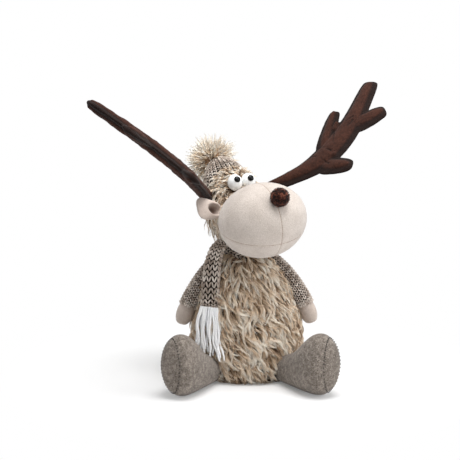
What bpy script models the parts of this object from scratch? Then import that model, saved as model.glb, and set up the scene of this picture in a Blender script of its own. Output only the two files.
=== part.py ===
# A sitting plush deer: shaggy body, big velour muzzle, knitted hat, scarf and
# sleeves, felt legs and two stuffed antlers.
# Metres, +Z up. The toy faces -Y and its own left is +X.
# The origin is the middle of the flat seat.
import bpy
import bmesh
from math import cos, pi, radians, sin
from mathutils import Euler, Matrix, Vector

# Gaps and walls
touch_gap = 0.0003       # between two pieces that touch
pad_gap = 0.0009         # between a skin and its filling
turn_gap = 0.0008        # between the head and what it turns over
press_depth = 0.0005     # how deep a resting form is cut flat
overrun = 0.012          # how far a cutter passes the faces it cuts
fur_wall = 0.0045
velour_wall = 0.0018
felt_wall = 0.0020
knit_wall = 0.0032

# Body: pear shaped, widest low down, open at the neck
body_height = 0.140
body_half_width = 0.054
body_half_depth = 0.048
neck_radius = 0.014
neck_lean_x = -0.002
neck_lean_y = 0.004
body_height_shares = [0.0, 0.03, 0.15, 0.36, 0.61, 0.83, 0.92, 0.965]
body_girth_shares = [0.72, 0.88, 0.99, 1.0, 0.86, 0.65, 0.45, 0.32]

# Weighted bag low in the body
bag_half_width = 0.036
bag_half_depth = 0.033
bag_height = 0.026
bag_height_shares = [0.0, 0.3, 0.72, 1.0]
bag_girth_shares = [0.82, 1.0, 0.9, 0.45]

# Head: turned to its left and tipped up over the neck
head_turn = radians(32)
head_pitch = radians(30)
head_range = radians(12)
muzzle_forward = 0.0433
muzzle_rise = 0.0093
muzzle_half_width = 0.0475
muzzle_half_length = 0.045
muzzle_half_height = 0.0386
muzzle_back_taper_share = 0.16
head_back = 0.040        # head centre behind the muzzle centre
head_rise = 0.030        # and above it
head_radius = 0.0265
head_top = 0.060
head_bottom = 0.036
head_tip = radians(11.5)

# Eyes
eye_forward = 0.028      # eye centre ahead of the head centre
eye_rise = 0.0185
eye_half_spacing = 0.0083
eye_half_width = 0.0079
eye_half_height = 0.0088
pupil_radius = 0.0034
pupil_half_depth = 0.0017
gaze_turn = radians(-9)
gaze_lift = radians(5)
stem_radius = 0.0017
eye_stem_length = 0.0200
washer_radius = 0.0046
washer_thickness = 0.0012
washer_setback = 0.0170  # from the eye centre to the washer

# Nose
nose_radius = 0.010
nose_forward = 0.0503
nose_rise = 0.0064
nose_aside = -0.0042
nose_stem_length = 0.022
nose_washer_setback = 0.0165

# Ears
ear_length = 0.031
ear_half_height = 0.0105
ear_half_depth = 0.0042
ear_aside = 0.0290
ear_forward = 0.0146     # ear root ahead of the head centre
ear_drop = 0.0085        # and below it
ear_swing = radians(13)
ear_lift_right = radians(6)
ear_lift_left = radians(10)
ear_hollow_radius = 0.0088
ear_hollow_depth = 0.0030
ear_along_shares = [0.0, 0.16, 0.45, 0.78, 1.0]
ear_height_shares = [0.55, 0.72, 0.98, 1.0, 0.66]
ear_depth_shares = [1.0, 1.0, 1.0, 0.9, 0.6]

# Hat and pom-pom
hat_rim_rise = 0.024     # rim above the head centre, along the head
pom_radius = 0.020
pom_rise = 0.066
pom_back = 0.008

# Antlers: one flat pattern, mirrored
antler_aside = 0.0290    # root centre from the middle of the head
antler_back = 0.0020
antler_rise = 0.0135
antler_root_radius = 0.0085
antler_half_depth = 0.0068
tine_lift = 0.0006       # of a tine's middle out of the beam's
antler_reach = 0.187
antler_bow_left = 0.0010     # how far an antler arches out of a flat plane
antler_bow_right = 0.0055
antler_wall = 0.0022
wire_radius = 0.0012
antler_out_share = 0.793
antler_ahead_share = 0.362
antler_up_share = 0.491
antler_normal_shares = (0.605, 0.560, -0.566)
# Along the pattern, across it, and half the width there, as shares of the reach
beam_shares = [(0.000, 0.000, 0.040), (0.055, 0.030, 0.042), (0.127, 0.075, 0.048),
               (0.245, 0.148, 0.064), (0.350, 0.192, 0.090), (0.500, 0.186, 0.096),
               (0.655, 0.148, 0.080), (0.775, 0.094, 0.056), (0.900, 0.032, 0.046),
               (0.985, -0.008, 0.028)]
upper_tine_shares = [(0.405, 0.172, 0.060), (0.540, 0.068, 0.053), (0.650, -0.010, 0.038),
                     (0.702, -0.038, 0.018)]
outer_tine_shares = [(0.650, 0.150, 0.076), (0.735, 0.198, 0.070), (0.797, 0.222, 0.062),
                     (0.842, 0.243, 0.036)]
lower_tine_shares = [(0.360, 0.215, 0.064), (0.388, 0.305, 0.060), (0.418, 0.356, 0.054),
                     (0.436, 0.390, 0.026)]
antler_depth_shares = [1.0, 1.0, 1.0, 1.0, 1.06, 1.06, 1.0, 0.95, 0.86, 0.6]
tine_depth_shares = [0.92, 0.9, 0.82, 0.5]

# Arms: a curved knitted sleeve with a velour hand
shoulder_drop = 0.021    # below the top of the neck
shoulder_inset = 0.006
arm_length = 0.078
arm_drop_start = radians(46)
arm_drop_end = radians(73)
arm_forward_share = 0.09
arm_steps = 16           # straight steps that the arm's curve is worked out in
sleeve_radius = 0.0093
hand_radius = 0.0086
sleeve_along_shares = [-0.12, 0.0, 0.22, 0.45, 0.70]
sleeve_radius_shares = [0.72, 1.0, 1.03, 1.0, 0.98]
hand_along_shares = [0.704, 0.78, 0.88, 0.97]
hand_radius_shares = [1.0, 1.02, 0.92, 0.62]
arm_fill_along_shares = [-0.12, 0.0, 0.22, 0.45, 0.70, 0.82, 0.90]
arm_fill_radius_shares = [0.66, 1.0, 1.03, 1.0, 0.98, 0.90, 0.45]

# Legs: a felt tube that swells into an upright foot
hip_half_spacing = 0.030
hip_forward = 0.018
leg_spread_left = radians(33)
leg_spread_right = radians(28)
leg_length = 0.103
foot_half_width = 0.0205
foot_half_height = 0.0335
leg_along_shares = [-0.16, 0.10, 0.33, 0.53, 0.70, 0.85, 0.95]
leg_width_shares = [0.56, 0.62, 0.73, 0.88, 1.0, 0.95, 0.66]
leg_height_shares = [0.37, 0.40, 0.50, 0.73, 0.98, 0.96, 0.68]
leg_middle_shares = [0.37, 0.40, 0.50, 0.73, 0.98, 1.03, 1.03]

# Scarf
wrap_radius = 0.0205
wrap_half_thickness = 0.0034
wrap_half_height = 0.0085
wrap_drop = 0.0100       # below the top of the neck
wrap_tip_side = radians(13)
wrap_tip_back = radians(8)
scarf_half_width = 0.0100
scarf_half_thickness = 0.0024
tail_width_shares = [0.66, 0.74, 0.84, 0.94, 1.0, 1.0]
front_tail_across_shares = [-2.45, -3.15, -3.60, -3.78, -3.85, -3.88]
front_tail_ahead_shares = [-1.10, -1.66, -2.22, -2.70, -3.12, -3.30]
front_tail_height_shares = [1.035, 0.985, 0.885, 0.745, 0.600, 0.545]
front_tail_turn = radians(-24)
back_tail_across_shares = [-1.40, -2.00, -2.55, -2.78, -2.80, -2.75]
back_tail_ahead_shares = [1.80, 2.95, 4.30, 5.05, 5.30, 5.38]
back_tail_height_shares = [0.995, 0.925, 0.765, 0.620, 0.500, 0.440]
back_tail_turn = radians(22)
fringe_length = 0.052
fringe_flare = 0.008
fringe_slope = 0.015
fringe_half_thickness = 0.0018
fringe_fingers = 7
fringe_slit_share = 0.86
fringe_gap_share = 0.24
front_fringe_tilt = radians(15)
back_fringe_tilt = radians(2)

# Facets
round_sides = 18
body_sides = 10
leg_sides = 8
arm_sides = 6
flat_sides = 6
eye_sides = 14
thin_sides = 8


def start_collections():
    for thing in list(bpy.data.objects):
        bpy.data.objects.remove(thing, do_unlink=True)
    made = []
    for name in ("plush_deer", "cutters"):
        group = bpy.data.collections.new(name)
        bpy.context.scene.collection.children.link(group)
        made.append(group)
    return made


toy, cutters = start_collections()


def linear(channel):
    return ((channel + 0.055) / 1.055) ** 2.4 if channel > 0.04045 else channel / 12.92


def cloth(name, red, green, blue, roughness=0.9):
    finish = bpy.data.materials.new(name)
    finish.use_nodes = True
    shader = finish.node_tree.nodes["Principled BSDF"]
    shader.inputs["Base Color"].default_value = (linear(red), linear(green), linear(blue), 1)
    shader.inputs["Roughness"].default_value = roughness
    shader.inputs["Metallic"].default_value = 0
    return finish


fur = cloth("shaggy_fur", 0.60, 0.51, 0.43)
velour = cloth("beige_velour", 0.76, 0.72, 0.69)
felt = cloth("grey_felt", 0.47, 0.43, 0.40)
knit = cloth("marled_knit", 0.50, 0.45, 0.41)
brown = cloth("brown_velour", 0.27, 0.19, 0.16)
flock = cloth("red_brown_flock", 0.25, 0.13, 0.10)
yarn = cloth("white_yarn", 0.86, 0.87, 0.88)
white = cloth("white_plastic", 0.90, 0.90, 0.90, 0.45)
black = cloth("black_plastic", 0.03, 0.03, 0.03, 0.08)
clear = cloth("washer_plastic", 0.80, 0.80, 0.78, 0.35)
wool = cloth("fibre_filling", 0.90, 0.89, 0.86, 0.95)
cotton = cloth("bag_cotton", 0.78, 0.75, 0.68)
steel = cloth("soft_wire", 0.60, 0.60, 0.60, 0.35)


# Building blocks

def ring(centre, turn, half_across, half_up):
    return Matrix.LocRotScale(centre, turn, Vector((half_across, half_up, 1)))


def turned(direction, side):
    ahead = direction.normalized()
    across = (side - side.dot(ahead) * ahead).normalized()
    return Matrix((across, ahead.cross(across), ahead)).transposed().to_quaternion()


def cage_half(half, sides):
    # a cage ring stands out, so that the smoothed ring has its real size
    return half / (3 / 4 + cos(2 * pi / sides) / 4)


def loft(stations, sides, open_start=False, open_end=False):
    shape = bmesh.new()
    bmesh.ops.create_circle(shape, segments=sides, radius=1, matrix=stations[0])
    loop = list(shape.edges)
    if not open_start:
        bmesh.ops.edgeloop_fill(shape, edges=loop)
    for before, station in zip(stations, stations[1:]):
        grown = bmesh.ops.extrude_edge_only(shape, edges=loop)["geom"]
        corners = {item for item in grown if isinstance(item, bmesh.types.BMVert)}
        bmesh.ops.transform(shape, matrix=station @ before.inverted(), verts=list(corners))
        loop = [edge for edge in shape.edges if set(edge.verts) <= corners]
    if not open_end:
        bmesh.ops.edgeloop_fill(shape, edges=loop)
    bmesh.ops.recalc_face_normals(shape, faces=shape.faces)
    return shape


def ball(halves, around, along, lay=Matrix()):
    # a sphere with its poles on Z, laid over by a turn, then given its half sizes
    shape = bmesh.new()
    bmesh.ops.create_uvsphere(shape, u_segments=around, v_segments=along, radius=1, matrix=lay)
    bmesh.ops.scale(shape, vec=halves, verts=shape.verts)
    return shape


def rod(radius, length, sides=thin_sides):
    # a rod along Z with its middle at the origin
    shape = bmesh.new()
    bmesh.ops.create_cone(shape, cap_ends=True, segments=sides, radius1=radius, radius2=radius,
                          depth=length)
    return shape


def flip_sides(shape):
    bmesh.ops.scale(shape, vec=(-1, 1, 1), verts=shape.verts)
    bmesh.ops.reverse_faces(shape, faces=shape.faces)
    return shape


def place(name, shape, finish, parent=None):
    mesh = bpy.data.meshes.new(name)
    shape.to_mesh(mesh)
    shape.free()
    mesh.shade_smooth()
    mesh.set_sharp_from_angle(angle=radians(50))
    piece = bpy.data.objects.new(name, mesh)
    if finish:
        toy.objects.link(piece)
        mesh.materials.append(finish)
    else:
        cutters.objects.link(piece)
        piece.hide_render = True
        piece.display_type = 'WIRE'
    piece.parent = parent
    return piece


def hold(name, where, turn=Euler((0, 0, 0)), parent=None):
    holder = bpy.data.objects.new(name, None)
    toy.objects.link(holder)
    holder.location = where
    holder.rotation_euler = turn
    holder.parent = parent
    return holder


def soften(piece):
    smooth = piece.modifiers.new("smooth", 'SUBSURF')
    smooth.levels = 1
    smooth.render_levels = 1
    return piece


def thicken(piece, wall, outward=False):
    shell = piece.modifiers.new("wall", 'SOLIDIFY')
    shell.thickness = wall
    shell.offset = 1 if outward else -1
    return piece


def shrink(piece, depth):
    # inwards by a depth, or outwards by a negative one
    inward = piece.modifiers.new("inset", 'DISPLACE')
    inward.mid_level = 0
    inward.strength = -depth
    return piece


def cut(piece, *tools, join=False):
    for tool in tools:
        change = piece.modifiers.new(tool.name, 'BOOLEAN')
        change.operation = 'UNION' if join else 'DIFFERENCE'
        change.object = tool
    return piece


def side_name(side):
    return "left" if side > 0 else "right"


# Body

def body_girth_at(height):
    # half the width of the body, as a share of its widest, at a height
    share = height / body_height
    heights = body_height_shares
    girths = body_girth_shares
    for low, high, girth, above in zip(heights, heights[1:], girths, girths[1:]):
        if share <= high:
            return girth + (above - girth) * (share - low) / (high - low)
    return girths[-1]


def body_middle(height):
    lean = (height / body_height) ** 2
    return Vector((neck_lean_x * lean, neck_lean_y * lean, height))


def body_stations():
    made = []
    for height_share, girth_share in zip(body_height_shares, body_girth_shares):
        middle = body_middle(height_share * body_height)
        middle.z -= press_depth * (1 - height_share)
        width = cage_half(body_half_width * girth_share, body_sides)
        depth = cage_half(body_half_depth * girth_share, body_sides)
        made.append(ring(middle, None, width, depth))
    neck = cage_half(neck_radius, body_sides)
    made.append(ring(body_middle(body_height), None, neck, neck))
    return made


def floor_cutter():
    shape = bmesh.new()
    bmesh.ops.create_cube(shape, size=1)
    reach = leg_length * 3
    bmesh.ops.scale(shape, vec=(reach, reach, overrun), verts=shape.verts)
    bmesh.ops.translate(shape, vec=(0, 0, -overrun / 2), verts=shape.verts)
    return place("floor_cutter", shape, None)


def neck_cutter(name, grow):
    # a round cutter about the neck, which the head can turn over
    made = []
    for height_share, girth_share in zip(body_height_shares[-3:], body_girth_shares[-3:]):
        middle = body_middle(body_height)
        middle.z = height_share * body_height
        half = body_half_width * girth_share + grow
        made.append(ring(middle, None, half, half))
    top = body_middle(body_height)
    top.z += grow
    made.append(ring(top, None, neck_radius + grow, neck_radius + grow))
    return place(name, loft(made, round_sides), None)


def make_body():
    skin = place("body_skin", loft(body_stations(), body_sides, open_end=True), fur)
    cut(thicken(soften(skin), fur_wall), floor)
    bag_made = []
    inset = fur_wall + pad_gap
    for height_share, girth_share in zip(bag_height_shares, bag_girth_shares):
        middle = Vector((0, 0, inset + height_share * bag_height))
        width = cage_half(bag_half_width * girth_share, leg_sides)
        depth = cage_half(bag_half_depth * girth_share, leg_sides)
        bag_made.append(ring(middle, None, width, depth))
    soften(place("pellet_bag", loft(bag_made, leg_sides), cotton))
    bag_made[0] = Matrix.Translation((0, 0, -inset)) @ bag_made[0]
    pocket = soften(place("bag_pocket", loft(bag_made, leg_sides), None))
    shrink(pocket, -pad_gap)
    filling = place("body_filling", loft(body_stations()[:-1], body_sides), wool)
    cut(shrink(soften(filling), inset), pocket)


def make_body_cutter():
    # the body with its gap, going on past the open neck
    made = body_stations()
    made.append(Matrix.Translation((0, 0, overrun)) @ made[-1])
    return shrink(soften(place("body_cutter", loft(made, body_sides), None)), -touch_gap)


# Head

def head_frame():
    turn = Euler((-head_pitch, 0, head_turn))
    return hold("head_turn_axis", body_middle(body_height), turn)


def muzzle_shape():
    lay = Matrix.Rotation(pi / 2, 4, 'X')
    halves = (muzzle_half_width, muzzle_half_length, muzzle_half_height)
    shape = ball(halves, round_sides, round_sides // 2, lay)
    for corner in shape.verts:
        back = max(corner.co.y, 0) / muzzle_half_length
        taper = 1 - muzzle_back_taper_share * back ** 2
        corner.co.x *= taper
        corner.co.z *= taper
    bmesh.ops.translate(shape, vec=(0, -muzzle_forward, muzzle_rise), verts=shape.verts)
    return shape


def head_place():
    middle = Vector((0, head_back - muzzle_forward, head_rise + muzzle_rise))
    return Matrix.LocRotScale(middle, Euler((-head_tip, 0, 0)), None)


def head_shape():
    shape = ball((head_radius, head_radius, 1), round_sides, round_sides // 2)
    for corner in shape.verts:
        corner.co.z *= head_top if corner.co.z > 0 else head_bottom
    return shape


def in_head(shape):
    bmesh.ops.transform(shape, matrix=head_place(), verts=shape.verts)
    return shape


def stem_place(aside, setback):
    # on the line that an eye's stem follows, back from the eye centre
    toward = Vector((0, eye_forward, -eye_rise)).normalized()
    centre = head_place().translation + Vector((aside, -eye_forward, eye_rise))
    return Matrix.LocRotScale(centre + toward * setback, turned(toward, Vector((1, 0, 0))), None)


def make_stem(name, radius, length, start, parent):
    shape = rod(radius, length)
    bmesh.ops.transform(shape, matrix=start @ Matrix.Translation((0, 0, length / 2)),
                        verts=shape.verts)
    return place(name, shape, None, parent)


def make_washer(name, place_at, parent):
    shape = rod(washer_radius, washer_thickness, eye_sides)
    bmesh.ops.transform(shape, matrix=place_at, verts=shape.verts)
    washer = place(name, shape, clear, parent)
    bore = rod(stem_radius + touch_gap, washer_thickness + overrun)
    bmesh.ops.transform(bore, matrix=place_at, verts=bore.verts)
    cut(washer, place(name + "_bore", bore, None, parent))
    pocket = rod(washer_radius + touch_gap, washer_thickness + touch_gap * 2, eye_sides)
    bmesh.ops.transform(pocket, matrix=place_at, verts=pocket.verts)
    return place(name + "_pocket", pocket, None, parent)


def eye_shape(side, grow):
    halves = Vector((eye_half_width, eye_half_width, eye_half_height)) + Vector((grow,) * 3)
    shape = ball(halves, eye_sides, thin_sides)
    middle = stem_place(side * eye_half_spacing, 0).translation
    bmesh.ops.translate(shape, vec=middle, verts=shape.verts)
    return shape


def make_eye(side, parent, skin, filling):
    aside = side * eye_half_spacing
    name = side_name(side)
    eyeball = place("eyeball_" + name, eye_shape(side, 0), white, parent)
    start = stem_place(aside, eye_half_width / 2)
    stem = make_stem("eye_stem_" + name, stem_radius, eye_stem_length - eye_half_width / 2,
                     start, parent)
    cut(eyeball, stem, join=True)
    socket = place("eye_socket_" + name, eye_shape(side, touch_gap), None, parent)
    bore = make_stem("eye_bore_" + name, stem_radius + touch_gap,
                     eye_stem_length + touch_gap - eye_half_width / 2, start, parent)
    pocket = make_washer("eye_washer_" + name, stem_place(aside, washer_setback), parent)
    cut(skin, socket, bore)
    cut(filling, bore, pocket)
    look = Vector((sin(gaze_turn), -cos(gaze_turn), sin(gaze_lift))).normalized()
    pupil = ball((pupil_radius, pupil_radius, pupil_half_depth), eye_sides, thin_sides)
    centre = stem_place(aside, 0).translation + look * eye_half_width
    spot = Matrix.LocRotScale(centre, turned(look, Vector((1, 0, 0))), None)
    bmesh.ops.transform(pupil, matrix=spot, verts=pupil.verts)
    cut(place("pupil_" + name, pupil, black, parent), socket)


def make_nose(parent, skin, filling, muzzle_tool):
    middle = Vector((nose_aside, -muzzle_forward - nose_forward, muzzle_rise + nose_rise))
    shape = ball((nose_radius,) * 3, eye_sides, thin_sides)
    bmesh.ops.translate(shape, vec=middle, verts=shape.verts)
    nose = place("nose", shape, flock, parent)
    cut(nose, muzzle_tool)
    inward = turned(Vector((0, 1, 0)), Vector((1, 0, 0)))
    start = Matrix.LocRotScale(middle, inward, None)
    cut(nose, make_stem("nose_stem", stem_radius, nose_stem_length, start, parent), join=True)
    bore = make_stem("nose_bore", stem_radius + touch_gap, nose_stem_length + touch_gap,
                     start, parent)
    at = start @ Matrix.Translation((0, 0, nose_washer_setback))
    pocket = make_washer("nose_washer", at, parent)
    cut(skin, bore)
    cut(filling, bore, pocket)


def make_ear(side, parent, muzzle_tool, head_tool):
    name = side_name(side)
    lift = ear_lift_left if side > 0 else ear_lift_right
    made = []
    shares = zip(ear_along_shares, ear_height_shares, ear_depth_shares)
    for along, height, depth in shares:
        half_up = cage_half(ear_half_height * height, flat_sides)
        half_across = cage_half(ear_half_depth * depth, flat_sides)
        turn = turned(Vector((1, 0, 0)), Vector((0, 1, 0)))
        made.append(ring(Vector((along * ear_length, 0, 0)), turn, half_across, half_up))
    shape = loft(made, flat_sides)
    hollow = ball((ear_hollow_radius, ear_hollow_depth, ear_hollow_radius), eye_sides, thin_sides)
    bmesh.ops.translate(hollow, vec=(ear_length / 2, -ear_half_depth, 0), verts=hollow.verts)
    sway = Matrix.Rotation(-ear_swing, 4, 'Z') @ Matrix.Rotation(-lift, 4, 'Y')
    root = head_place().translation + Vector((ear_aside, -ear_forward, -ear_drop))
    for part in (shape, hollow):
        bmesh.ops.transform(part, matrix=Matrix.Translation(root) @ sway, verts=part.verts)
        if side < 0:
            flip_sides(part)
    ear = soften(place("ear_" + name, shape, velour, parent))
    cut(ear, place("ear_hollow_" + name, hollow, None, parent), muzzle_tool, head_tool)


def antler_axes():
    out = Vector((antler_out_share, -antler_ahead_share, antler_up_share)).normalized()
    normal = Vector(antler_normal_shares)
    normal = (normal - normal.dot(out) * out).normalized()
    return Matrix((out, normal.cross(out), normal)).transposed().to_4x4()


def branch(shares, depths, grow, bow, smoothed=True, start_back=0, lift=0):
    # rings square to the branch's own line, broad in the antler's arched plane
    cage = cage_half if smoothed else (lambda half, sides: half)
    sides = flat_sides if smoothed else thin_sides
    points = []
    for along, across, half in shares:
        arch = bow * sin(pi * along)
        points.append(Vector((along * antler_reach, across * antler_reach, lift - arch)))
    points[0] -= (points[1] - points[0]).normalized() * start_back
    made = []
    for place_in, point in enumerate(points):
        before = points[max(place_in - 1, 0)]
        after = points[min(place_in + 1, len(points) - 1)]
        turn = turned(after - before, Vector((0, 0, 1)))
        depth = antler_half_depth * depths[place_in] + grow
        width = shares[place_in][2] * antler_reach + grow
        made.append(ring(point, turn, cage(depth, sides), cage(width, sides)))
    return loft(made, sides)


def antler_part(name, shape, finish, side, holder):
    bmesh.ops.transform(shape, matrix=antler_axes(), verts=shape.verts)
    if side < 0:
        flip_sides(shape)
    return place(name + "_" + side_name(side), shape, finish, holder)


def make_antler(side, parent, head_pieces):
    root = head_place().translation + Vector((antler_aside, antler_back, antler_rise))
    root.x *= side
    holder = hold("antler_axis_" + side_name(side), root, parent=parent)
    bow = antler_bow_left if side > 0 else antler_bow_right
    beam = branch(beam_shares, antler_depth_shares, 0, bow)
    skin = soften(antler_part("antler_skin", beam, brown, side, holder))
    tines = (upper_tine_shares, outer_tine_shares, lower_tine_shares)
    for number, shares in enumerate(tines):
        tine = branch(shares, tine_depth_shares, 0, bow, lift=tine_lift)
        tool = soften(antler_part("tine_%d" % number, tine, None, side, holder))
        cut(skin, tool, join=True)
    knob = ball((antler_root_radius,) * 3, thin_sides, flat_sides)
    cut(skin, antler_part("antler_knob", knob, None, side, holder), join=True)
    inner_shares = beam_shares[:-1]
    hollow = branch(inner_shares, antler_depth_shares, -antler_wall, bow, False, overrun)
    cut(skin, antler_part("antler_hollow", hollow, None, side, holder))
    inset = antler_wall + pad_gap
    core = branch(inner_shares[:-1], antler_depth_shares, -inset, bow, False)
    filling = antler_part("antler_filling", core, wool, side, holder)
    wire_shares = [(along, across, 0) for along, across, half in beam_shares[1:-3]]
    flat_shares = [0] * len(wire_shares)
    bore = branch(wire_shares, flat_shares, wire_radius + touch_gap, bow, False, overrun)
    cut(filling, antler_part("wire_bore", bore, None, side, holder))
    wire = branch(wire_shares[:-1], flat_shares, wire_radius, bow, False)
    antler_part("antler_wire", wire, steel, side, holder)
    dimple = ball((antler_root_radius + turn_gap,) * 3, thin_sides, flat_sides)
    cut_tool = antler_part("antler_dimple", dimple, None, side, holder)
    for piece in head_pieces:
        cut(piece, cut_tool)


def make_hat(parent):
    shape = head_shape()
    bmesh.ops.bisect_plane(shape, geom=shape.verts[:] + shape.edges[:] + shape.faces[:],
                           plane_co=(0, 0, hat_rim_rise), plane_no=(0, 0, 1), clear_inner=True)
    hat = shrink(place("hat", in_head(shape), knit, parent), -touch_gap)
    thicken(hat, knit_wall, outward=True)
    tool = place("hat_cutter", in_head(head_shape()), None, parent)
    shrink(tool, -knit_wall - touch_gap * 2)
    pom = ball((pom_radius,) * 3, eye_sides, thin_sides)
    bmesh.ops.translate(pom, vec=(0, pom_back, pom_rise), verts=pom.verts)
    cut(place("pom_pom", in_head(pom), fur, parent), tool)


def make_head():
    frame = head_frame()
    neck_tool = neck_cutter("neck_cutter", turn_gap)
    muzzle_tool = shrink(place("muzzle_cutter", muzzle_shape(), None, frame), -touch_gap)
    head_tool = shrink(place("head_cutter", in_head(head_shape()), None, frame), -touch_gap)
    muzzle = thicken(place("muzzle_skin", muzzle_shape(), velour, frame), velour_wall)
    muzzle_fill = place("muzzle_filling", muzzle_shape(), wool, frame)
    shrink(muzzle_fill, velour_wall + pad_gap)
    skin = thicken(place("head_skin", in_head(head_shape()), fur, frame), fur_wall)
    head_fill = place("head_filling", in_head(head_shape()), wool, frame)
    shrink(head_fill, fur_wall + pad_gap)
    for piece in (skin, head_fill):
        cut(piece, muzzle_tool, neck_tool)
    for piece in (muzzle, muzzle_fill):
        cut(piece, neck_tool)
    for side in (1, -1):
        make_eye(side, frame, skin, head_fill)
        make_ear(side, frame, muzzle_tool, head_tool)
        make_antler(side, frame, (skin, head_fill))
    make_nose(frame, muzzle, muzzle_fill, muzzle_tool)
    make_hat(frame)


# Arms and legs

def shoulder_point(side):
    middle = body_middle(body_height - shoulder_drop)
    aside = body_half_width * body_girth_at(middle.z) - shoulder_inset
    return middle + Vector((side * aside, 0, 0))


def arm_line(side, share):
    # the arm bends downwards at a steady rate
    point = shoulder_point(side)
    length = arm_length * share / arm_steps
    for step in range(arm_steps):
        along = share * (step + 1 / 2) / arm_steps
        drop = arm_drop_start + (arm_drop_end - arm_drop_start) * along
        point += Vector((side * cos(drop), -arm_forward_share, -sin(drop))) * length
    return point


def arm_stations(side, along_shares, radius, radius_shares):
    made = []
    for share, radius_share in zip(along_shares, radius_shares):
        direction = arm_line(side, share + 1 / arm_steps) - arm_line(side, share)
        turn = turned(direction, Vector((0, 1, 0)))
        half = cage_half(radius * radius_share, arm_sides)
        made.append(ring(arm_line(side, share), turn, half, half))
    return made


def make_arm(side, body_tool):
    name = side_name(side)
    top = shoulder_point(side) + Vector((0, 0, sleeve_radius))
    girth = body_half_width * body_girth_at(top.z)
    top.x = body_middle(top.z).x + side * girth
    holder = hold("arm_axis_" + name, top)
    away = Matrix.Translation(-top)
    sleeve_rings = arm_stations(side, sleeve_along_shares, sleeve_radius, sleeve_radius_shares)
    hand_rings = arm_stations(side, hand_along_shares, hand_radius, hand_radius_shares)
    core_radius = sleeve_radius - knit_wall - pad_gap
    core_rings = arm_stations(side, arm_fill_along_shares, core_radius, arm_fill_radius_shares)
    sleeve = loft([away @ one for one in sleeve_rings], arm_sides, open_end=True)
    hand = loft([away @ one for one in hand_rings], arm_sides, open_start=True)
    core = loft([away @ one for one in core_rings], arm_sides)
    cut(thicken(soften(place("sleeve_" + name, sleeve, knit, holder)), knit_wall), body_tool)
    thicken(soften(place("hand_" + name, hand, velour, holder)), velour_wall)
    cut(soften(place("arm_filling_" + name, core, wool, holder)), body_tool)


def leg_line(side):
    # the hip on the floor, and the way that the leg points
    spread = leg_spread_left if side > 0 else leg_spread_right
    hip = Vector((side * hip_half_spacing, -hip_forward, 0))
    return hip, Vector((side * sin(spread), -cos(spread), 0))


def leg_stations(side):
    hip, ahead = leg_line(side)
    turn = turned(ahead, ahead.cross(Vector((0, 0, 1))))
    made = []
    shares = zip(leg_along_shares, leg_width_shares, leg_height_shares, leg_middle_shares)
    for along, width, height, middle in shares:
        centre = hip + ahead * (along * leg_length)
        centre.z = foot_half_height * middle - press_depth
        half_across = cage_half(foot_half_width * width, leg_sides)
        half_up = cage_half(foot_half_height * height, leg_sides)
        made.append(ring(centre, turn, half_across, half_up))
    return made


def make_leg(side, body_tool):
    name = side_name(side)
    hip, ahead = leg_line(side)
    # the leg swings down about the back of its root, under the body
    root = hip + ahead * (leg_along_shares[0] * leg_length)
    holder = hold("leg_axis_" + name, root)
    away = Matrix.Translation(-root)
    shape = loft([away @ one for one in leg_stations(side)], leg_sides, open_start=True)
    skin = thicken(soften(place("leg_skin_" + name, shape, felt, holder)), felt_wall)
    cut(skin, floor, body_tool)
    core = loft([away @ one for one in leg_stations(side)], leg_sides)
    filling = soften(place("leg_filling_" + name, core, wool, holder))
    cut(shrink(filling, felt_wall + pad_gap), body_tool)


# Scarf

def wrap_shape():
    shape = bmesh.new()
    bmesh.ops.create_circle(shape, segments=leg_sides, radius=1)
    profile = ring(Vector((wrap_radius, 0, 0)), Euler((pi / 2, 0, 0)), wrap_half_thickness,
                   wrap_half_height)
    bmesh.ops.transform(shape, matrix=profile, verts=shape.verts)
    bmesh.ops.spin(shape, geom=shape.verts[:] + shape.edges[:], cent=(0, 0, 0), axis=(0, 0, 1),
                   angle=2 * pi, steps=round_sides, use_merge=True)
    bmesh.ops.recalc_face_normals(shape, faces=shape.faces)
    middle = body_middle(body_height - wrap_drop)
    tip = Euler((wrap_tip_back, wrap_tip_side, 0))
    bmesh.ops.transform(shape, matrix=Matrix.LocRotScale(middle, tip, None), verts=shape.verts)
    return shape


def tail_points(across_shares, ahead_shares, height_shares):
    shares = zip(across_shares, ahead_shares, height_shares)
    return [Vector((across * scarf_half_width, ahead * scarf_half_width, high * body_height))
            for across, ahead, high in shares]


def tail_shape(points, turn_about):
    made = []
    across = Vector((cos(turn_about), sin(turn_about), 0))
    for number, point in enumerate(points):
        before = points[max(number - 1, 0)]
        after = points[min(number + 1, len(points) - 1)]
        turn = turned(after - before, across)
        half = cage_half(scarf_half_width * tail_width_shares[number], flat_sides)
        thin = cage_half(scarf_half_thickness, flat_sides)
        made.append(ring(point, turn, half, thin))
    return loft(made, flat_sides)


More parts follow.
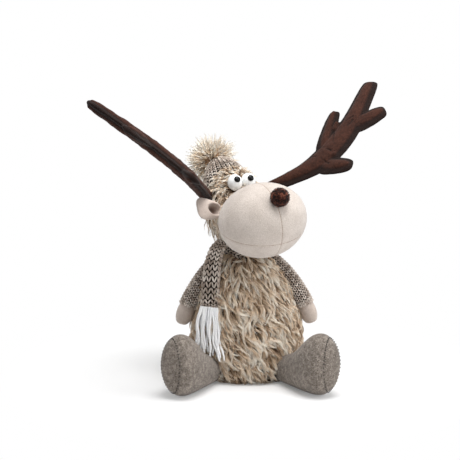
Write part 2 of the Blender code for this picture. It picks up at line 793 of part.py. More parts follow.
def make_fringe(name, top, turn_about, tilt, holder, away):
    # a comb of flat fingers under the end of a tail
    outline = [(-scarf_half_width, 0)]
    wide = scarf_half_width + fringe_flare
    pitch = 2 / fringe_fingers
    for finger in range(fringe_fingers):
        left = -1 + finger * pitch
        right = left + pitch * (1 - fringe_gap_share)
        drop = fringe_length - fringe_slope * (1 - finger * pitch / 2)
        outline += [(left * wide, -drop), (right * wide, -drop)]
        if finger < fringe_fingers - 1:
            notch = left + pitch * (1 - fringe_gap_share / 2)
            outline.append((notch * scarf_half_width, -fringe_length * (1 - fringe_slit_share)))
    outline.append((scarf_half_width, 0))
    flat = bpy.data.curves.new(name, 'CURVE')
    flat.dimensions = '2D'
    flat.fill_mode = 'BOTH'
    flat.extrude = fringe_half_thickness
    line = flat.splines.new('POLY')
    line.points.add(len(outline) - 1)
    for point, (across, along) in zip(line.points, outline):
        point.co = (across, along, 0, 1)
    line.use_cyclic_u = True
    flat.materials.append(yarn)
    fringe = bpy.data.objects.new(name, flat)
    toy.objects.link(fringe)
    fringe.rotation_euler = (pi / 2 - tilt, 0, turn_about)
    fringe.location = away @ (top - Vector((0, 0, touch_gap)))
    fringe.parent = holder


def make_tails(tools):
    front = tail_points(front_tail_across_shares, front_tail_ahead_shares,
                        front_tail_height_shares)
    holder = hold("scarf_tail_axis", front[0])
    away = Matrix.Translation(-front[0])
    shape = tail_shape(front, front_tail_turn)
    bmesh.ops.transform(shape, matrix=away, verts=shape.verts)
    cut(soften(place("scarf_front_tail", shape, knit, holder)), *tools)
    make_fringe("scarf_front_fringe", front[-1], front_tail_turn, front_fringe_tilt, holder, away)
    back = tail_points(back_tail_across_shares, back_tail_ahead_shares, back_tail_height_shares)
    cut(soften(place("scarf_back_tail", tail_shape(back, back_tail_turn), knit)), *tools)
    make_fringe("scarf_back_fringe", back[-1], back_tail_turn, -back_fringe_tilt, None, Matrix())


def swept_muzzle():
    # the muzzle as far as the head turns either way, and at rest
    made = []
    for name, turn in (("rest", 0), ("left", head_range), ("right", -head_range)):
        tool = shrink(place("muzzle_" + name, muzzle_shape(), None), -turn_gap)
        spin = Euler((-head_pitch, 0, head_turn + turn))
        tool.location = body_middle(body_height)
        tool.rotation_euler = spin
        made.append(tool)
    return made


floor = floor_cutter()
make_body()
body_cutter = make_body_cutter()
make_head()
for each_side in (1, -1):
    make_arm(each_side, body_cutter)
    make_leg(each_side, body_cutter)
clear_of_head = swept_muzzle()
cut(place("scarf_wrap", wrap_shape(), knit), body_cutter, *clear_of_head)
wrap_cutter = shrink(place("wrap_cutter", wrap_shape(), None), -touch_gap)
make_tails([body_cutter, wrap_cutter] + clear_of_head)
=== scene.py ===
from math import cos, exp, pi, radians, sin, sqrt

import bmesh
import bpy
import numpy as np
from mathutils import Euler, Matrix, Vector, noise
from mathutils.bvhtree import BVHTree


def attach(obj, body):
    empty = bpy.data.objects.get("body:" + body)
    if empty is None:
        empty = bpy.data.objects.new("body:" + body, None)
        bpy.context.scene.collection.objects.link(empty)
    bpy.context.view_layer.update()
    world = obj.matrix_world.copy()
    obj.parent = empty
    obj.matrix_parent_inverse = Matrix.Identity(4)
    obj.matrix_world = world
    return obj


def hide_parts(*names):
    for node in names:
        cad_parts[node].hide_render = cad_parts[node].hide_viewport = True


# the noise would take its seed from the clock
noise.seed_set(11)

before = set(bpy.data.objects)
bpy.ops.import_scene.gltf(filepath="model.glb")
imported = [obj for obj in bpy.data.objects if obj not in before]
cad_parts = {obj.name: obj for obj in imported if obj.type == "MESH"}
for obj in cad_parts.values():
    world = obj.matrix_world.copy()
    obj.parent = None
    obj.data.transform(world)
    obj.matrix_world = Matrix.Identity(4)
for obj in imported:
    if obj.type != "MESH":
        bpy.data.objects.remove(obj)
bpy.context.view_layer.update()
print("frame loaded,", len(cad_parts), "nodes")


# Finishes: a wire is a socket, and sums on it add Math nodes

class Wire:
    def __init__(self, tree, socket):
        self.tree = tree
        self.socket = socket

    def join(self, operation, first, second):
        node = self.tree.nodes.new("ShaderNodeMath")
        node.operation = operation
        for port, value in zip(node.inputs, (first, second)):
            if isinstance(value, Wire):
                self.tree.links.new(value.socket, port)
            else:
                port.default_value = value
        return Wire(self.tree, node.outputs[0])

    def __add__(self, other):
        return self.join('ADD', self, other)

    def __radd__(self, other):
        return self.join('ADD', other, self)

    def __sub__(self, other):
        return self.join('SUBTRACT', self, other)

    def __rsub__(self, other):
        return self.join('SUBTRACT', other, self)

    def __mul__(self, other):
        return self.join('MULTIPLY', self, other)

    def __rmul__(self, other):
        return self.join('MULTIPLY', other, self)

    def __truediv__(self, other):
        return self.join('DIVIDE', self, other)

    def __abs__(self):
        return self.join('ABSOLUTE', self, 0)

    def upTo(self, most):
        return self.join('MINIMUM', self, most)


def tint(red, green, blue):
    # a colour as a screen shows it, 0 to 255, as Blender's linear one
    shares = (red / 255, green / 255, blue / 255)
    linear = [((s + 0.055) / 1.055) ** 2.4 if s > 0.04045 else s / 12.92 for s in shares]
    return (*linear, 1)


class Finish:
    def __init__(self, name, roughness=0.9, **fixed):
        self.material = bpy.data.materials.new(name)
        self.material.use_nodes = True
        self.tree = self.material.node_tree
        self.shader = self.tree.nodes["Principled BSDF"]
        self.shader.inputs["Roughness"].default_value = roughness
        for socket, value in fixed.items():
            self.shader.inputs[socket.replace("_", " ")].default_value = value
        self.where = self.add("TexCoord", take="Object")

    def add(self, kind, settings=None, inputs=None, take=0):
        node = self.tree.nodes.new("ShaderNode" + kind)
        for name, value in (settings or {}).items():
            if name == "stops":
                ramp = node.color_ramp.elements
                while len(ramp) < len(value):
                    ramp.new(0.5)
                for stop, (place, colour) in zip(ramp, value):
                    stop.position = place
                    stop.color = colour
            else:
                setattr(node, name, value)
        for name, value in (inputs or {}).items():
            if isinstance(value, Wire):
                self.tree.links.new(value.socket, node.inputs[name])
            else:
                node.inputs[name].default_value = value
        return Wire(self.tree, node.outputs[take])

    def grain(self, size, detail=2, rough=0.5, where=None):
        # noise whose spots are about so many metres wide
        return self.add("TexNoise", None, {"Vector": where or self.where, "Scale": 1 / size,
                                           "Detail": detail, "Roughness": rough})

    def stretched(self, scale, turn=(0, 0, 0)):
        return self.add("Mapping", None, {"Vector": self.where, "Rotation": turn, "Scale": scale})

    def value(self, name):
        return self.add("Attribute", {"attribute_name": name}, take="Fac")

    def between(self, share, low, high):
        # 0 below low, 1 above high
        return self.add("MapRange", {"clamp": True}, {"Value": share, "From Min": low,
                                                      "From Max": high})

    def mix(self, share, first, second):
        node = self.tree.nodes.new("ShaderNodeMix")
        node.data_type = 'RGBA'
        for port, value in zip((node.inputs[0], node.inputs[6], node.inputs[7]),
                               (share, first, second)):
            if isinstance(value, Wire):
                self.tree.links.new(value.socket, port)
            else:
                port.default_value = value
        return Wire(self.tree, node.outputs[2])

    def ramp(self, share, *stops):
        return self.add("ValToRGB", {"stops": stops}, {"Fac": share})

    def bump(self, height, depth):
        normal = self.add("Bump", None, {"Height": height, "Distance": depth, "Strength": 1})
        self.tree.links.new(normal.socket, self.shader.inputs["Normal"])

    def paint(self, colour, roughness=None):
        self.tree.links.new(colour.socket, self.shader.inputs["Base Color"])
        if roughness:
            self.tree.links.new(roughness.socket, self.shader.inputs["Roughness"])
        return self.material


furColours = {"root": (60, 42, 30), "low": (162, 132, 103), "mid": (236, 211, 182),
              "tip": (255, 248, 235), "sheen": 0.08}


def furFinish(name, colours, roots=0.3):
    # dark at the root and cream at the tip, each lock a little different; the dark roots are partly the fur's
    # own colour and partly painted shade deep in the coat
    made = Finish(name, 0.62, Sheen_Weight=colours["sheen"], Specular_IOR_Level=0.25)
    along = made.value("along")
    tone = made.value("tone")
    patch = made.grain(0.022, 2)
    share = along * 0.85 + tone * 0.8 + patch * 0.8 - 0.63
    colour = made.ramp(share, (0.0, tint(*colours["root"])), (roots, tint(*colours["low"])),
                       (0.55, tint(*colours["mid"])), (0.9, tint(*colours["tip"])))
    return made.paint(colour)


def velourFinish(name, dark, light, nap=0.0011, sheen=0.35):
    # short pile: fine specks, soft clouds where the nap is brushed, and a fuzz in the bump
    made = Finish(name, 0.92, Sheen_Weight=sheen, Sheen_Roughness=0.45, Specular_IOR_Level=0.2)
    specks = made.grain(nap, 3, 0.6)
    clouds = made.grain(nap * 14, 3, 0.55)
    share = specks * 0.75 + clouds * 0.42 - 0.08
    colour = made.ramp(share, (0.2, tint(*dark)), (0.75, tint(*light)))
    made.bump(specks, 0.0004)
    return made, colour


knitColours = {"dark": (58, 47, 40), "mid": (158, 142, 129), "light": (240, 230, 220)}


def yarnFinish(name, colours, fine=0.0013):
    # two plies, one dark and one cream, twisted together
    made = Finish(name, 0.88, Sheen_Weight=0.2, Specular_IOR_Level=0.2)
    tone = made.value("tone")
    plies = made.grain(fine, 2, 0.6)
    share = plies * 0.36 + tone * 0.34 + 0.08
    colour = made.ramp(share, (0.22, tint(*colours["dark"])), (0.40, tint(*colours["mid"])),
                       (0.60, tint(*colours["light"])))
    made.bump(plies, 0.0004)
    return made.paint(colour)


# Making meshes

def ring(centre, turn, halfAcross, halfUp):
    return Matrix.LocRotScale(centre, turn, Vector((halfAcross, halfUp, 1)))


def turned(direction, side):
    ahead = direction.normalized()
    across = (side - side.dot(ahead) * ahead).normalized()
    return Matrix((across, ahead.cross(across), ahead)).transposed().to_quaternion()


def cageHalf(half, sides):
    # a cage ring stands out, so that the smoothed ring has its real size
    return half / (2 / 3 + cos(2 * pi / sides) / 3)


def inOrder(shape):
    # Blender numbers the faces of new shapes differently from run to run, and fur grows by face
    corners = sorted(shape.verts, key=lambda corner: [round(size, 7) for size in corner.co])
    numbers = {corner: number for number, corner in enumerate(corners)}
    rounds = []
    for face in shape.faces:
        around = [numbers[corner] for corner in face.verts]
        first = around.index(min(around))
        rounds.append(around[first:] + around[:first])
    ordered = bmesh.new()
    made = [ordered.verts.new(corner.co) for corner in corners]
    for around in sorted(rounds):
        ordered.faces.new([made[number] for number in around])
    shape.free()
    ordered.normal_update()
    return ordered


def loft(stations, sides):
    shape = bmesh.new()
    bmesh.ops.create_circle(shape, segments=sides, radius=1, matrix=stations[0])
    loop = list(shape.edges)
    bmesh.ops.edgeloop_fill(shape, edges=loop)
    for before, station in zip(stations, stations[1:]):
        grown = bmesh.ops.extrude_edge_only(shape, edges=loop)["geom"]
        corners = {item for item in grown if isinstance(item, bmesh.types.BMVert)}
        bmesh.ops.transform(shape, matrix=station @ before.inverted(), verts=list(corners))
        loop = [edge for edge in shape.edges if set(edge.verts) <= corners]
    bmesh.ops.edgeloop_fill(shape, edges=loop)
    bmesh.ops.recalc_face_normals(shape, faces=shape.faces)
    return inOrder(shape)


def ball(halves, around, along, lay=Matrix()):
    shape = bmesh.new()
    bmesh.ops.create_uvsphere(shape, u_segments=around, v_segments=along, radius=1, matrix=lay)
    bmesh.ops.scale(shape, vec=halves, verts=shape.verts)
    return inOrder(shape)


def joined(shapes):
    whole = bmesh.new()
    for shape in shapes:
        part = bpy.data.meshes.new("part")
        shape.to_mesh(part)
        shape.free()
        whole.from_mesh(part)
        bpy.data.meshes.remove(part)
    return whole


def place(name, shape, finish=None):
    mesh = bpy.data.meshes.new(name)
    shape.to_mesh(mesh)
    shape.free()
    mesh.shade_smooth()
    piece = bpy.data.objects.new(name, mesh)
    bpy.context.scene.collection.objects.link(piece)
    if finish:
        mesh.materials.append(finish)
    return piece


def settle(piece):
    # applies the modifiers, so that what follows can work on the real surface
    view = bpy.context.evaluated_depsgraph_get()
    mesh = bpy.data.meshes.new_from_object(piece.evaluated_get(view))
    piece.modifiers.clear()
    piece.data = mesh
    mesh.name = piece.name
    return piece


def soften(piece, levels=2):
    smooth = piece.modifiers.new("smooth", 'SUBSURF')
    smooth.levels = levels
    smooth.render_levels = levels
    return piece


def finished(piece, body, slot, *nodes):
    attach(piece, body)
    if nodes:
        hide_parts(*nodes)
    return piece


def sideName(side):
    return "left" if side > 0 else "right"


def tubes(name, paths, radii, sides, finish, marks):
    # one thin tapered tube along each path; marks are values kept on the mesh for its finish
    line = bpy.data.curves.new(name, 'CURVE')
    line.dimensions = '3D'
    section = bpy.data.curves.new(name + "_section", 'CURVE')
    outline = section.splines.new('POLY')
    outline.points.add(sides - 1)
    for number, point in enumerate(outline.points):
        angle = -2 * pi * number / sides
        point.co = (cos(angle), sin(angle), 0, 1)
    outline.use_cyclic_u = True
    profile = bpy.data.objects.new(name + "_section", section)
    line.bevel_mode = 'OBJECT'
    line.bevel_object = profile
    count, points = paths.shape[:2]
    wide = np.ones((count, points, 4), np.float32)
    wide[:, :, :3] = paths
    radii = np.broadcast_to(np.asarray(radii, np.float32), (count, points))
    for path, radius in zip(wide, radii):
        spline = line.splines.new('POLY')
        spline.points.add(points - 1)
        spline.points.foreach_set("co", path.ravel())
        spline.points.foreach_set("radius", np.ascontiguousarray(radius))
    guide = bpy.data.objects.new(name + "_guide", line)
    bpy.context.scene.collection.objects.link(guide)
    bpy.context.view_layer.update()
    view = bpy.context.evaluated_depsgraph_get()
    mesh = bpy.data.meshes.new_from_object(guide.evaluated_get(view))
    mesh.name = name
    bpy.data.objects.remove(guide)
    bpy.data.objects.remove(profile)
    mesh.materials.clear()
    mesh.materials.append(finish)
    mesh.shade_smooth()
    for mark, values in marks.items():
        spread = np.repeat(np.broadcast_to(values, (count, points)).ravel(), sides)
        layer = mesh.attributes.new(mark, 'FLOAT', 'POINT')
        layer.data.foreach_set("value", np.ascontiguousarray(spread, np.float32))
    piece = bpy.data.objects.new(name, mesh)
    bpy.context.scene.collection.objects.link(piece)
    return piece


# Fur: locks of hair that start on a surface, lie along it and draw together at the tip

def scatter(mesh, count, seed, keep):
    # even points on a mesh, with the way that each faces
    mesh.calc_loop_triangles()
    corners = np.empty(len(mesh.vertices) * 3)
    mesh.vertices.foreach_get("co", corners)
    corners = corners.reshape(-1, 3)
    faces = np.empty(len(mesh.loop_triangles) * 3, np.int32)
    mesh.loop_triangles.foreach_get("vertices", faces)
    first, second, third = (corners[faces.reshape(-1, 3)[:, k]] for k in range(3))
    normal = np.cross(second - first, third - first)
    area = np.linalg.norm(normal, axis=1)
    dice = np.random.default_rng(seed)
    chosen = dice.choice(len(area), count * 3, p=area / area.sum())
    across, up = dice.random(count * 3), dice.random(count * 3)
    over = across + up > 1
    across[over], up[over] = 1 - across[over], 1 - up[over]
    first, second, third = first[chosen], second[chosen], third[chosen]
    points = first + (second - first) * across[:, None] + (third - first) * up[:, None]
    facing = normal[chosen] / np.maximum(area[chosen], 1e-12)[:, None]
    mask = np.array([keep(Vector(p), Vector(n)) for p, n in zip(points, facing)])
    return points[mask][:count], facing[mask][:count], dice


def growLocks(name, mesh, flow, keep, reach, look, finish, seed):
    roots, facing, dice = scatter(mesh, look["locks"], seed, keep)
    view = BVHTree.FromPolygons([v.co for v in mesh.vertices], [p.vertices for p in mesh.polygons])
    steps = look["steps"]
    reaches = np.array([reach(Vector(root)) for root in roots])
    lengths = look["length"] * dice.uniform(0.6, 1.25, len(roots)) * reaches
    paths = np.empty((len(roots), steps + 1, 3))
    for number, (root, normal) in enumerate(zip(roots, facing)):
        point, up = Vector(root), Vector(normal)
        stride = lengths[number] / steps
        rise = look["rise"] * dice.uniform(0.5, 1.4) * min(reaches[number] * 1.3, 1)
        veer, curl = dice.normal() * look["veer"], dice.normal() * look["curl"]
        stray = look["stray"] * dice.random() ** 3 * min(reaches[number], 1)
        for step in range(steps + 1):
            along = step / steps
            height = rise * sin(pi * min(along * look["arch"], 1)) + look["root"]
            height += stray * along ** 2
            paths[number, step] = point + up * height
            way = flow(point, up, along)
            way = (way - way.dot(up) * up).normalized()
            way = Matrix.Rotation(veer + curl * along, 3, up) @ way
            found, turn, *rest = view.find_nearest(point + way * stride)
            if found is None:
                continue
            point, up = found, turn
    return strandsOf(name, paths, facing, look, finish, dice)


def strandsOf(name, paths, facing, look, finish, dice):
    # the hairs of each lock, resampled to few points and shared out between pieces
    locks, knots = paths.shape[:2]
    hairs = look["hairs"]
    ahead = paths[:, 1] - paths[:, 0]
    across = np.cross(ahead, facing)
    across /= np.maximum(np.linalg.norm(across, axis=1), 1e-9)[:, None]
    ahead /= np.maximum(np.linalg.norm(ahead, axis=1), 1e-9)[:, None]
    angle = dice.uniform(0, 2 * pi, (locks, hairs))
    reach = look["spread"] * np.sqrt(dice.random((locks, hairs)))
    shift = (across[:, None] * (np.cos(angle) * reach)[..., None]
             + ahead[:, None] * (np.sin(angle) * reach)[..., None]
             + facing[:, None] * dice.uniform(-0.3, 0.3, (locks, hairs, 1)) * look["spread"])
    points = look["points"]
    shares = np.linspace(0, 1, points) ** 0.9
    reachAlong = dice.uniform(0.72, 1, (locks, hairs, 1)) * shares
    spot = np.clip(reachAlong * (knots - 1), 0, knots - 1 - 1e-6)
    low = spot.astype(int)
    part = (spot - low)[..., None]
    rows = np.arange(locks)[:, None, None]
    lines = paths[rows, low] * (1 - part) + paths[rows, low + 1] * part
    gather = 1 - look["gather"] * reachAlong ** 1.2
    lines = lines + shift[:, :, None] * gather[..., None]
    phase = dice.uniform(0, 2 * pi, (locks, hairs, 1))
    wave = np.sin(reachAlong * look["waves"] * 2 * pi + phase) * reachAlong * look["wave"]
    lines = lines + across[:, None, None] * wave[..., None]
    thick = look["thick"] * (1 - 0.72 * shares)
    lines[..., 2] = np.maximum(lines[..., 2], look["thick"])
    tone = dice.random((locks, 1, 1)) * 0.7 + dice.random((locks, hairs, 1)) * 0.3
    along = np.broadcast_to(reachAlong, (locks, hairs, points))
    tone = np.broadcast_to(tone, (locks, hairs, points))
    made = []
    for number, chosen in enumerate(np.array_split(np.arange(locks), look["pieces"])):
        flat = (len(chosen) * hairs, points)
        marks = {"along": along[chosen].reshape(flat), "tone": tone[chosen].reshape(flat)}
        piece = tubes("%s_%d" % (name, number + 1), lines[chosen].reshape(*flat, 3), thick, 3,
                      finish, marks)
        made.append(piece)
    print(name, "has", locks * hairs, "hairs")
    return made


def swirl(point, size, amount):
    return noise.noise_vector(point / size) * amount


# Body: a stuffed pear with long tousled fur over it

body = {"height": 0.140, "halfWidth": 0.054, "halfDepth": 0.048, "neck": 0.014,
        "lean": (-0.002, 0.004), "heights": (0, 0.03, 0.15, 0.36, 0.61, 0.83, 0.92, 0.965),
        "girths": (0.72, 0.88, 0.99, 1.0, 0.86, 0.65, 0.45, 0.32), "sides": 10, "coatDepth": 0.002}
bodyFur = {"locks": 4850, "hairs": 8, "length": 0.0285, "rise": 0.0060, "arch": 1.0,
           "root": -0.0012, "spread": 0.0019, "gather": 0.80, "steps": 8, "points": 5,
           "waves": 0.8, "wave": 0.0011, "thick": 0.00031, "pieces": 6, "veer": 0.20,
           "curl": 0.60, "stray": 0.008}


def bodyMiddle(height):
    lean = (height / body["height"]) ** 2
    return Vector((body["lean"][0] * lean, body["lean"][1] * lean, height))


def bodyStations():
    made = []
    for share, girth in zip(body["heights"], body["girths"]):
        width = cageHalf(body["halfWidth"] * girth, body["sides"])
        depth = cageHalf(body["halfDepth"] * girth, body["sides"])
        made.append(ring(bodyMiddle(share * body["height"]), None, width, depth))
    neck = cageHalf(body["neck"], body["sides"])
    made.append(ring(bodyMiddle(body["height"]), None, neck, neck))
    return made


arm = {"shoulderDrop": 0.021, "inset": 0.006, "length": 0.078, "out": 0.0022,
       "dropStart": {1: radians(41), -1: radians(45)}, "dropEnd": radians(73),
       "forward": 0.09, "steps": 16, "sleeve": 0.0096, "hand": 0.0092,
       "sleeveAlong": (-0.12, 0, 0.22, 0.45, 0.70), "sleeveWide": (0.72, 1, 1.03, 1, 0.98),
       "handAlong": (0.66, 0.704, 0.74, 0.80, 0.88, 0.95, 0.98),
       "handWide": (0.80, 0.93, 0.99, 1.05, 0.97, 0.72, 0.42),
       "rows": 20, "columns": 15,
       "stitch": {"overlap": 1.0, "lift": 0.0005, "thick": 0.0014, "foot": 0.07, "splay": 0.42}}


def bodyGirth(height):
    return float(np.interp(height / body["height"], body["heights"], body["girths"]))


def armLine(side, share):
    point = bodyMiddle(body["height"] - arm["shoulderDrop"])
    aside = body["halfWidth"] * bodyGirth(point.z) - arm["inset"] + arm["out"]
    point = point + Vector((side * aside, 0, 0))
    length = arm["length"] * share / arm["steps"]
    for step in range(arm["steps"]):
        along = share * (step + 0.5) / arm["steps"]
        drop = arm["dropStart"][side] * (1 - along) + arm["dropEnd"] * along
        point += Vector((side * cos(drop), -arm["forward"], -sin(drop))) * length
    return point


def bodyFlow(point, up, along):
    # fans out under the chin, tousled on the belly, straight and slanting at the hem
    fan = max(point.z - 0.07, 0) / 0.07
    chest = Vector((point.x + 0.002, point.y * 0.5, 0)) * 44 * fan
    curls = max(0, 1 - ((point - Vector((0.004, -0.045, 0.066))).length / 0.03) ** 2)
    slant = Vector((0.62, 0, 0)) * (1 - fan)
    return Vector((0, 0, -1)) + chest + slant + swirl(point, 0.014, 0.55 + 0.75 * curls)


def underScarf(point):
    return point.z > 0.1345


def bodyFurGrows(point, up):
    return point.z > 0.003 and not underScarf(point)


def bodyFurReach(point):
    # short where the arms lie on it
    side = 1 if point.x > 0 else -1
    fromArm = min((point - spot).length for spot in armSpots[side]) - arm["sleeve"]
    return 0.28 + 0.72 * max(0, min(1, (fromArm - 0.001) / 0.006))


armSpots = {side: [armLine(side, share / 20) for share in range(-3, 14)] for side in (1, -1)}
furCoat = furFinish("shaggyFur", furColours)
# the coat under the hair takes the dark root colour: partly the backing's own colour and partly painted shade
# deep in the fur
bodySkin = settle(soften(place("bodyCoat", loft(bodyStations(), body["sides"]), furCoat), 3))
bodyHair = growLocks("bodyFur", bodySkin.data, bodyFlow, bodyFurGrows, bodyFurReach,
                     bodyFur, furCoat, 3)
for corner in bodySkin.data.vertices:
    corner.co -= corner.normal * body["coatDepth"]
    corner.co.z = max(corner.co.z, 0)
finished(bodySkin, "torso", "shaggy_fur", "body_skin")
for hair in bodyHair:
    finished(hair, "torso", "shaggy_fur")
print("body made")


# Head frame, muzzle and its seams

neckPoint = Vector((-0.002, 0.004, 0.140))
headFrame = Matrix.LocRotScale(neckPoint, Euler((radians(-30), 0, radians(32))), None)
muzzle = {"middle": Vector((0, -0.0433, 0.0093)), "halves": (0.0475, 0.045, 0.0386),
          "taper": 0.16, "around": 256, "along": 144, "grooveWidth": 0.0009,
          "grooveDepth": 0.0005}
muzzleSeams = ((Vector((0.980, -0.177, 0.089)), 0.00106), (Vector((0.118, 0.749, -0.652)), 0.0063),
               (Vector((0.429, -0.891, -0.150)), -0.02051))


def grooveAt(spot):
    depth = 0
    for normal, distance in muzzleSeams:
        off = (normal.dot(spot) - distance) / muzzle["grooveWidth"]
        depth = max(depth, exp(-off * off))
    return depth * muzzle["grooveDepth"]


def makeMuzzle():
    lay = Matrix.Rotation(pi / 2, 4, 'X')
    shape = ball(muzzle["halves"], muzzle["around"], muzzle["along"], lay)
    for normal, distance in muzzleSeams:
        for offset in (-1, 0, 1):
            near = shape.verts[:] + shape.edges[:] + shape.faces[:]
            at = normal * (distance + offset * muzzle["grooveWidth"] * 0.6)
            bmesh.ops.bisect_plane(shape, geom=near, plane_co=at, plane_no=normal)
    for corner in shape.verts:
        shrunk = grooveAt(corner.co)
        corner.co -= corner.co.normalized() * shrunk
        back = max(corner.co.y, 0) / muzzle["halves"][1]
        corner.co.x *= 1 - muzzle["taper"] * back ** 2
        corner.co.z *= 1 - muzzle["taper"] * back ** 2
    bmesh.ops.translate(shape, vec=muzzle["middle"], verts=shape.verts)
    bmesh.ops.transform(shape, matrix=headFrame, verts=shape.verts)
    finish, colour = velourFinish("beigeVelour", (172, 160, 150), (218, 208, 200))
    inHead = headFrame.inverted().to_3x3()
    start = headFrame @ muzzle["middle"]
    thread = None
    for normal, distance in muzzleSeams[:2]:
        facing = inHead.transposed() @ normal
        off = finish.add("VectorMath", {"operation": 'DOT_PRODUCT'},
                         {0: finish.where, 1: facing}, take="Value")
        off = abs(off - (facing.dot(start) + distance))
        line = finish.between(off, 0.0002, 0.0006)
        thread = line if thread is None else thread * line
    dashes = finish.grain(0.0011, 1)
    thread = (thread + finish.between(dashes, 0.42, 0.62) * 0.45).upTo(1)
    colour = finish.mix(thread, tint(156, 132, 116), colour)
    return place("muzzle", shape, finish.paint(colour))


finished(makeMuzzle(), "head", "beige_velour", "muzzle_skin")
print("muzzle made")


# Head: a furry egg behind the muzzle

head = {"middle": muzzle["middle"] + Vector((0, 0.040, 0.030)), "tip": radians(-11.5),
        "radius": 0.0265, "top": 0.060, "bottom": 0.036, "coatDepth": 0.0015, "rim": 0.022, "rimTilt": 0.0075}
headPlace = Matrix.LocRotScale(head["middle"], Euler((head["tip"], 0, 0)), None)
headFur = {"locks": 1250, "hairs": 9, "length": 0.0185, "rise": 0.0056, "arch": 0.9,
           "root": -0.001, "spread": 0.0018, "gather": 0.9, "steps": 7, "points": 5,
           "waves": 0.7, "wave": 0.0007, "thick": 0.00028, "pieces": 3, "veer": 0.25,
           "curl": 0.4, "stray": 0.016, "eyeRoom": 0.0088}
toHead = (headFrame @ headPlace).inverted()
eye = {"aside": 0.0083, "across": -0.0031, "forward": 0.028, "rise": 0.0185, "halves": (0.0079, 0.0079, 0.0088),
       "pupil": 0.0034, "dome": 0.0019, "turn": radians(-9), "lift": radians(5)}


def eyeCentre(side):
    return headPlace.translation + Vector((side * eye["aside"] + eye["across"], -eye["forward"],
                                           eye["rise"]))


def headShape(grow=0, around=48, along=32):
    shape = ball((head["radius"] + grow,) * 2 + (1,), around, along)
    for corner in shape.verts:
        corner.co.z *= (head["top"] if corner.co.z > 0 else head["bottom"]) + grow
    bmesh.ops.transform(shape, matrix=headFrame @ headPlace, verts=shape.verts)
    return shape


def headFlow(point, up, along):
    # away from the eyes, and down below them
    spot = toHead @ point
    away = (spot - Vector((0, -eye["forward"], eye["rise"]))).normalized()
    low = max(0, min(1, (0.006 - spot.z) / 0.020))
    way = toHead.inverted().to_3x3() @ (away + Vector((0, 0, -0.25 - 1.2 * low)))
    return way + swirl(point, 0.012, 0.35)


def rimHeight(back):
    # the hat sits higher over the eyes than at the back
    return head["rim"] - head["rimTilt"] * back / head["radius"]


def headFurGrows(point, up):
    spot = toHead @ point
    inMuzzle = headFrame.inverted() @ point - muzzle["middle"]
    shares = [inMuzzle[k] / muzzle["halves"][k] for k in range(3)]
    inFrame = headFrame.inverted() @ point
    fromEye = min((inFrame - eyeCentre(side)).length for side in (1, -1))
    return (-0.034 < spot.z < rimHeight(spot.y) + 0.0025 and sum(s * s for s in shares) > 1.0
            and fromEye > headFur["eyeRoom"])


def headFurReach(point):
    # short over the eyes and along the hat's rim
    spot = toHead @ point
    if spot.y < -0.014 and spot.z > 0.006:
        return 0.62
    nearRim = min(max((spot.z - rimHeight(spot.y) + 0.014) / 0.012, 0), 1)
    return (1.1 if spot.z > 0 else 1.3) * (1 - 0.52 * nearRim)


headFinish = furFinish("headFur", {"root": (84, 62, 46), "low": (180, 152, 124),
                                   "mid": (242, 222, 198), "tip": (255, 250, 240), "sheen": 0.08})
# the coat under the hair takes the dark root colour: partly the backing's own colour and partly painted shade
# deep in the fur
headSkin = place("headCoat", headShape(), headFinish)
headHair = growLocks("headFur", headSkin.data, headFlow, headFurGrows, headFurReach, headFur,
                     headFinish, 7)
for corner in headSkin.data.vertices:
    corner.co -= corner.normal * head["coatDepth"]
finished(headSkin, "head", "shaggy_fur", "head_skin")
for hair in headHair:
    finished(hair, "head", "shaggy_fur")
print("head made")


# Eyes and nose

nose = {"middle": muzzle["middle"] + Vector((-0.0052, -0.0503, 0.0064)), "radius": 0.0095,
        "dents": 0.0005}
noseFur = {"locks": 1000, "hairs": 4, "length": 0.0011, "spread": 0.0005, "gather": 0.2,
           "points": 3, "waves": 1, "wave": 0.0001, "thick": 0.00012, "pieces": 1, "curl": 0.5,
           "short": 0.7}


def plasticFinish(name, colour, roughness, grain, gloss):
    made = Finish(name, roughness, Specular_IOR_Level=gloss)
    wear = made.grain(grain, 3)
    shade = made.mix(wear * 0.12, tint(*colour), tint(*[c * 0.82 for c in colour]))
    return made.paint(shade, wear * 0.12 + roughness - 0.06)


whitePlastic = plasticFinish("whitePlastic", (240, 241, 240), 0.24, 0.004, 0.5)
blackPlastic = plasticFinish("blackPlastic", (2, 2, 3), 0.10, 0.0015, 0.16)


def makeEye(side):
    name = sideName(side)
    centre = eyeCentre(side)
    shape = ball(eye["halves"], 48, 32)
    bmesh.ops.translate(shape, vec=centre, verts=shape.verts)
    bmesh.ops.transform(shape, matrix=headFrame, verts=shape.verts)
    finished(place("eye_" + name, shape, whitePlastic), "head", "white_plastic",
             "eyeball_" + name)
    look = Vector((sin(eye["turn"]), -cos(eye["turn"]), sin(eye["lift"]))).normalized()
    pupil = ball((eye["pupil"], eye["pupil"], eye["dome"]), 40, 20)
    spot = Matrix.LocRotScale(centre + look * eye["halves"][0], turned(look, Vector((1, 0, 0))),
                              None)
    bmesh.ops.transform(pupil, matrix=headFrame @ spot, verts=pupil.verts)
    finished(place("pupilDome_" + name, pupil, blackPlastic), "head", "black_plastic",
             "pupil_" + name)


def tuftsFrom(name, centre, radius, look, finish, seed, keep):
    # short locks that stand out from a ball
    dice = np.random.default_rng(seed)
    facing = dice.normal(size=(look["locks"] * 2, 3))
    facing /= np.linalg.norm(facing, axis=1)[:, None]
    facing = np.array([way for way in facing if keep(Vector(way))])[:look["locks"]]
    lean = dice.normal(size=facing.shape) * look["curl"]
    shares = np.linspace(0, 1, 5)[None, :, None]
    lengths = look["length"] * dice.uniform(look["short"], 1.1, (len(facing), 1, 1))
    out = facing[:, None] * radius + facing[:, None] * shares * lengths
    paths = np.array(centre) + out + lean[:, None] * shares ** 2 * lengths * 0.5
    return strandsOf(name, paths, facing, look, finish, dice)


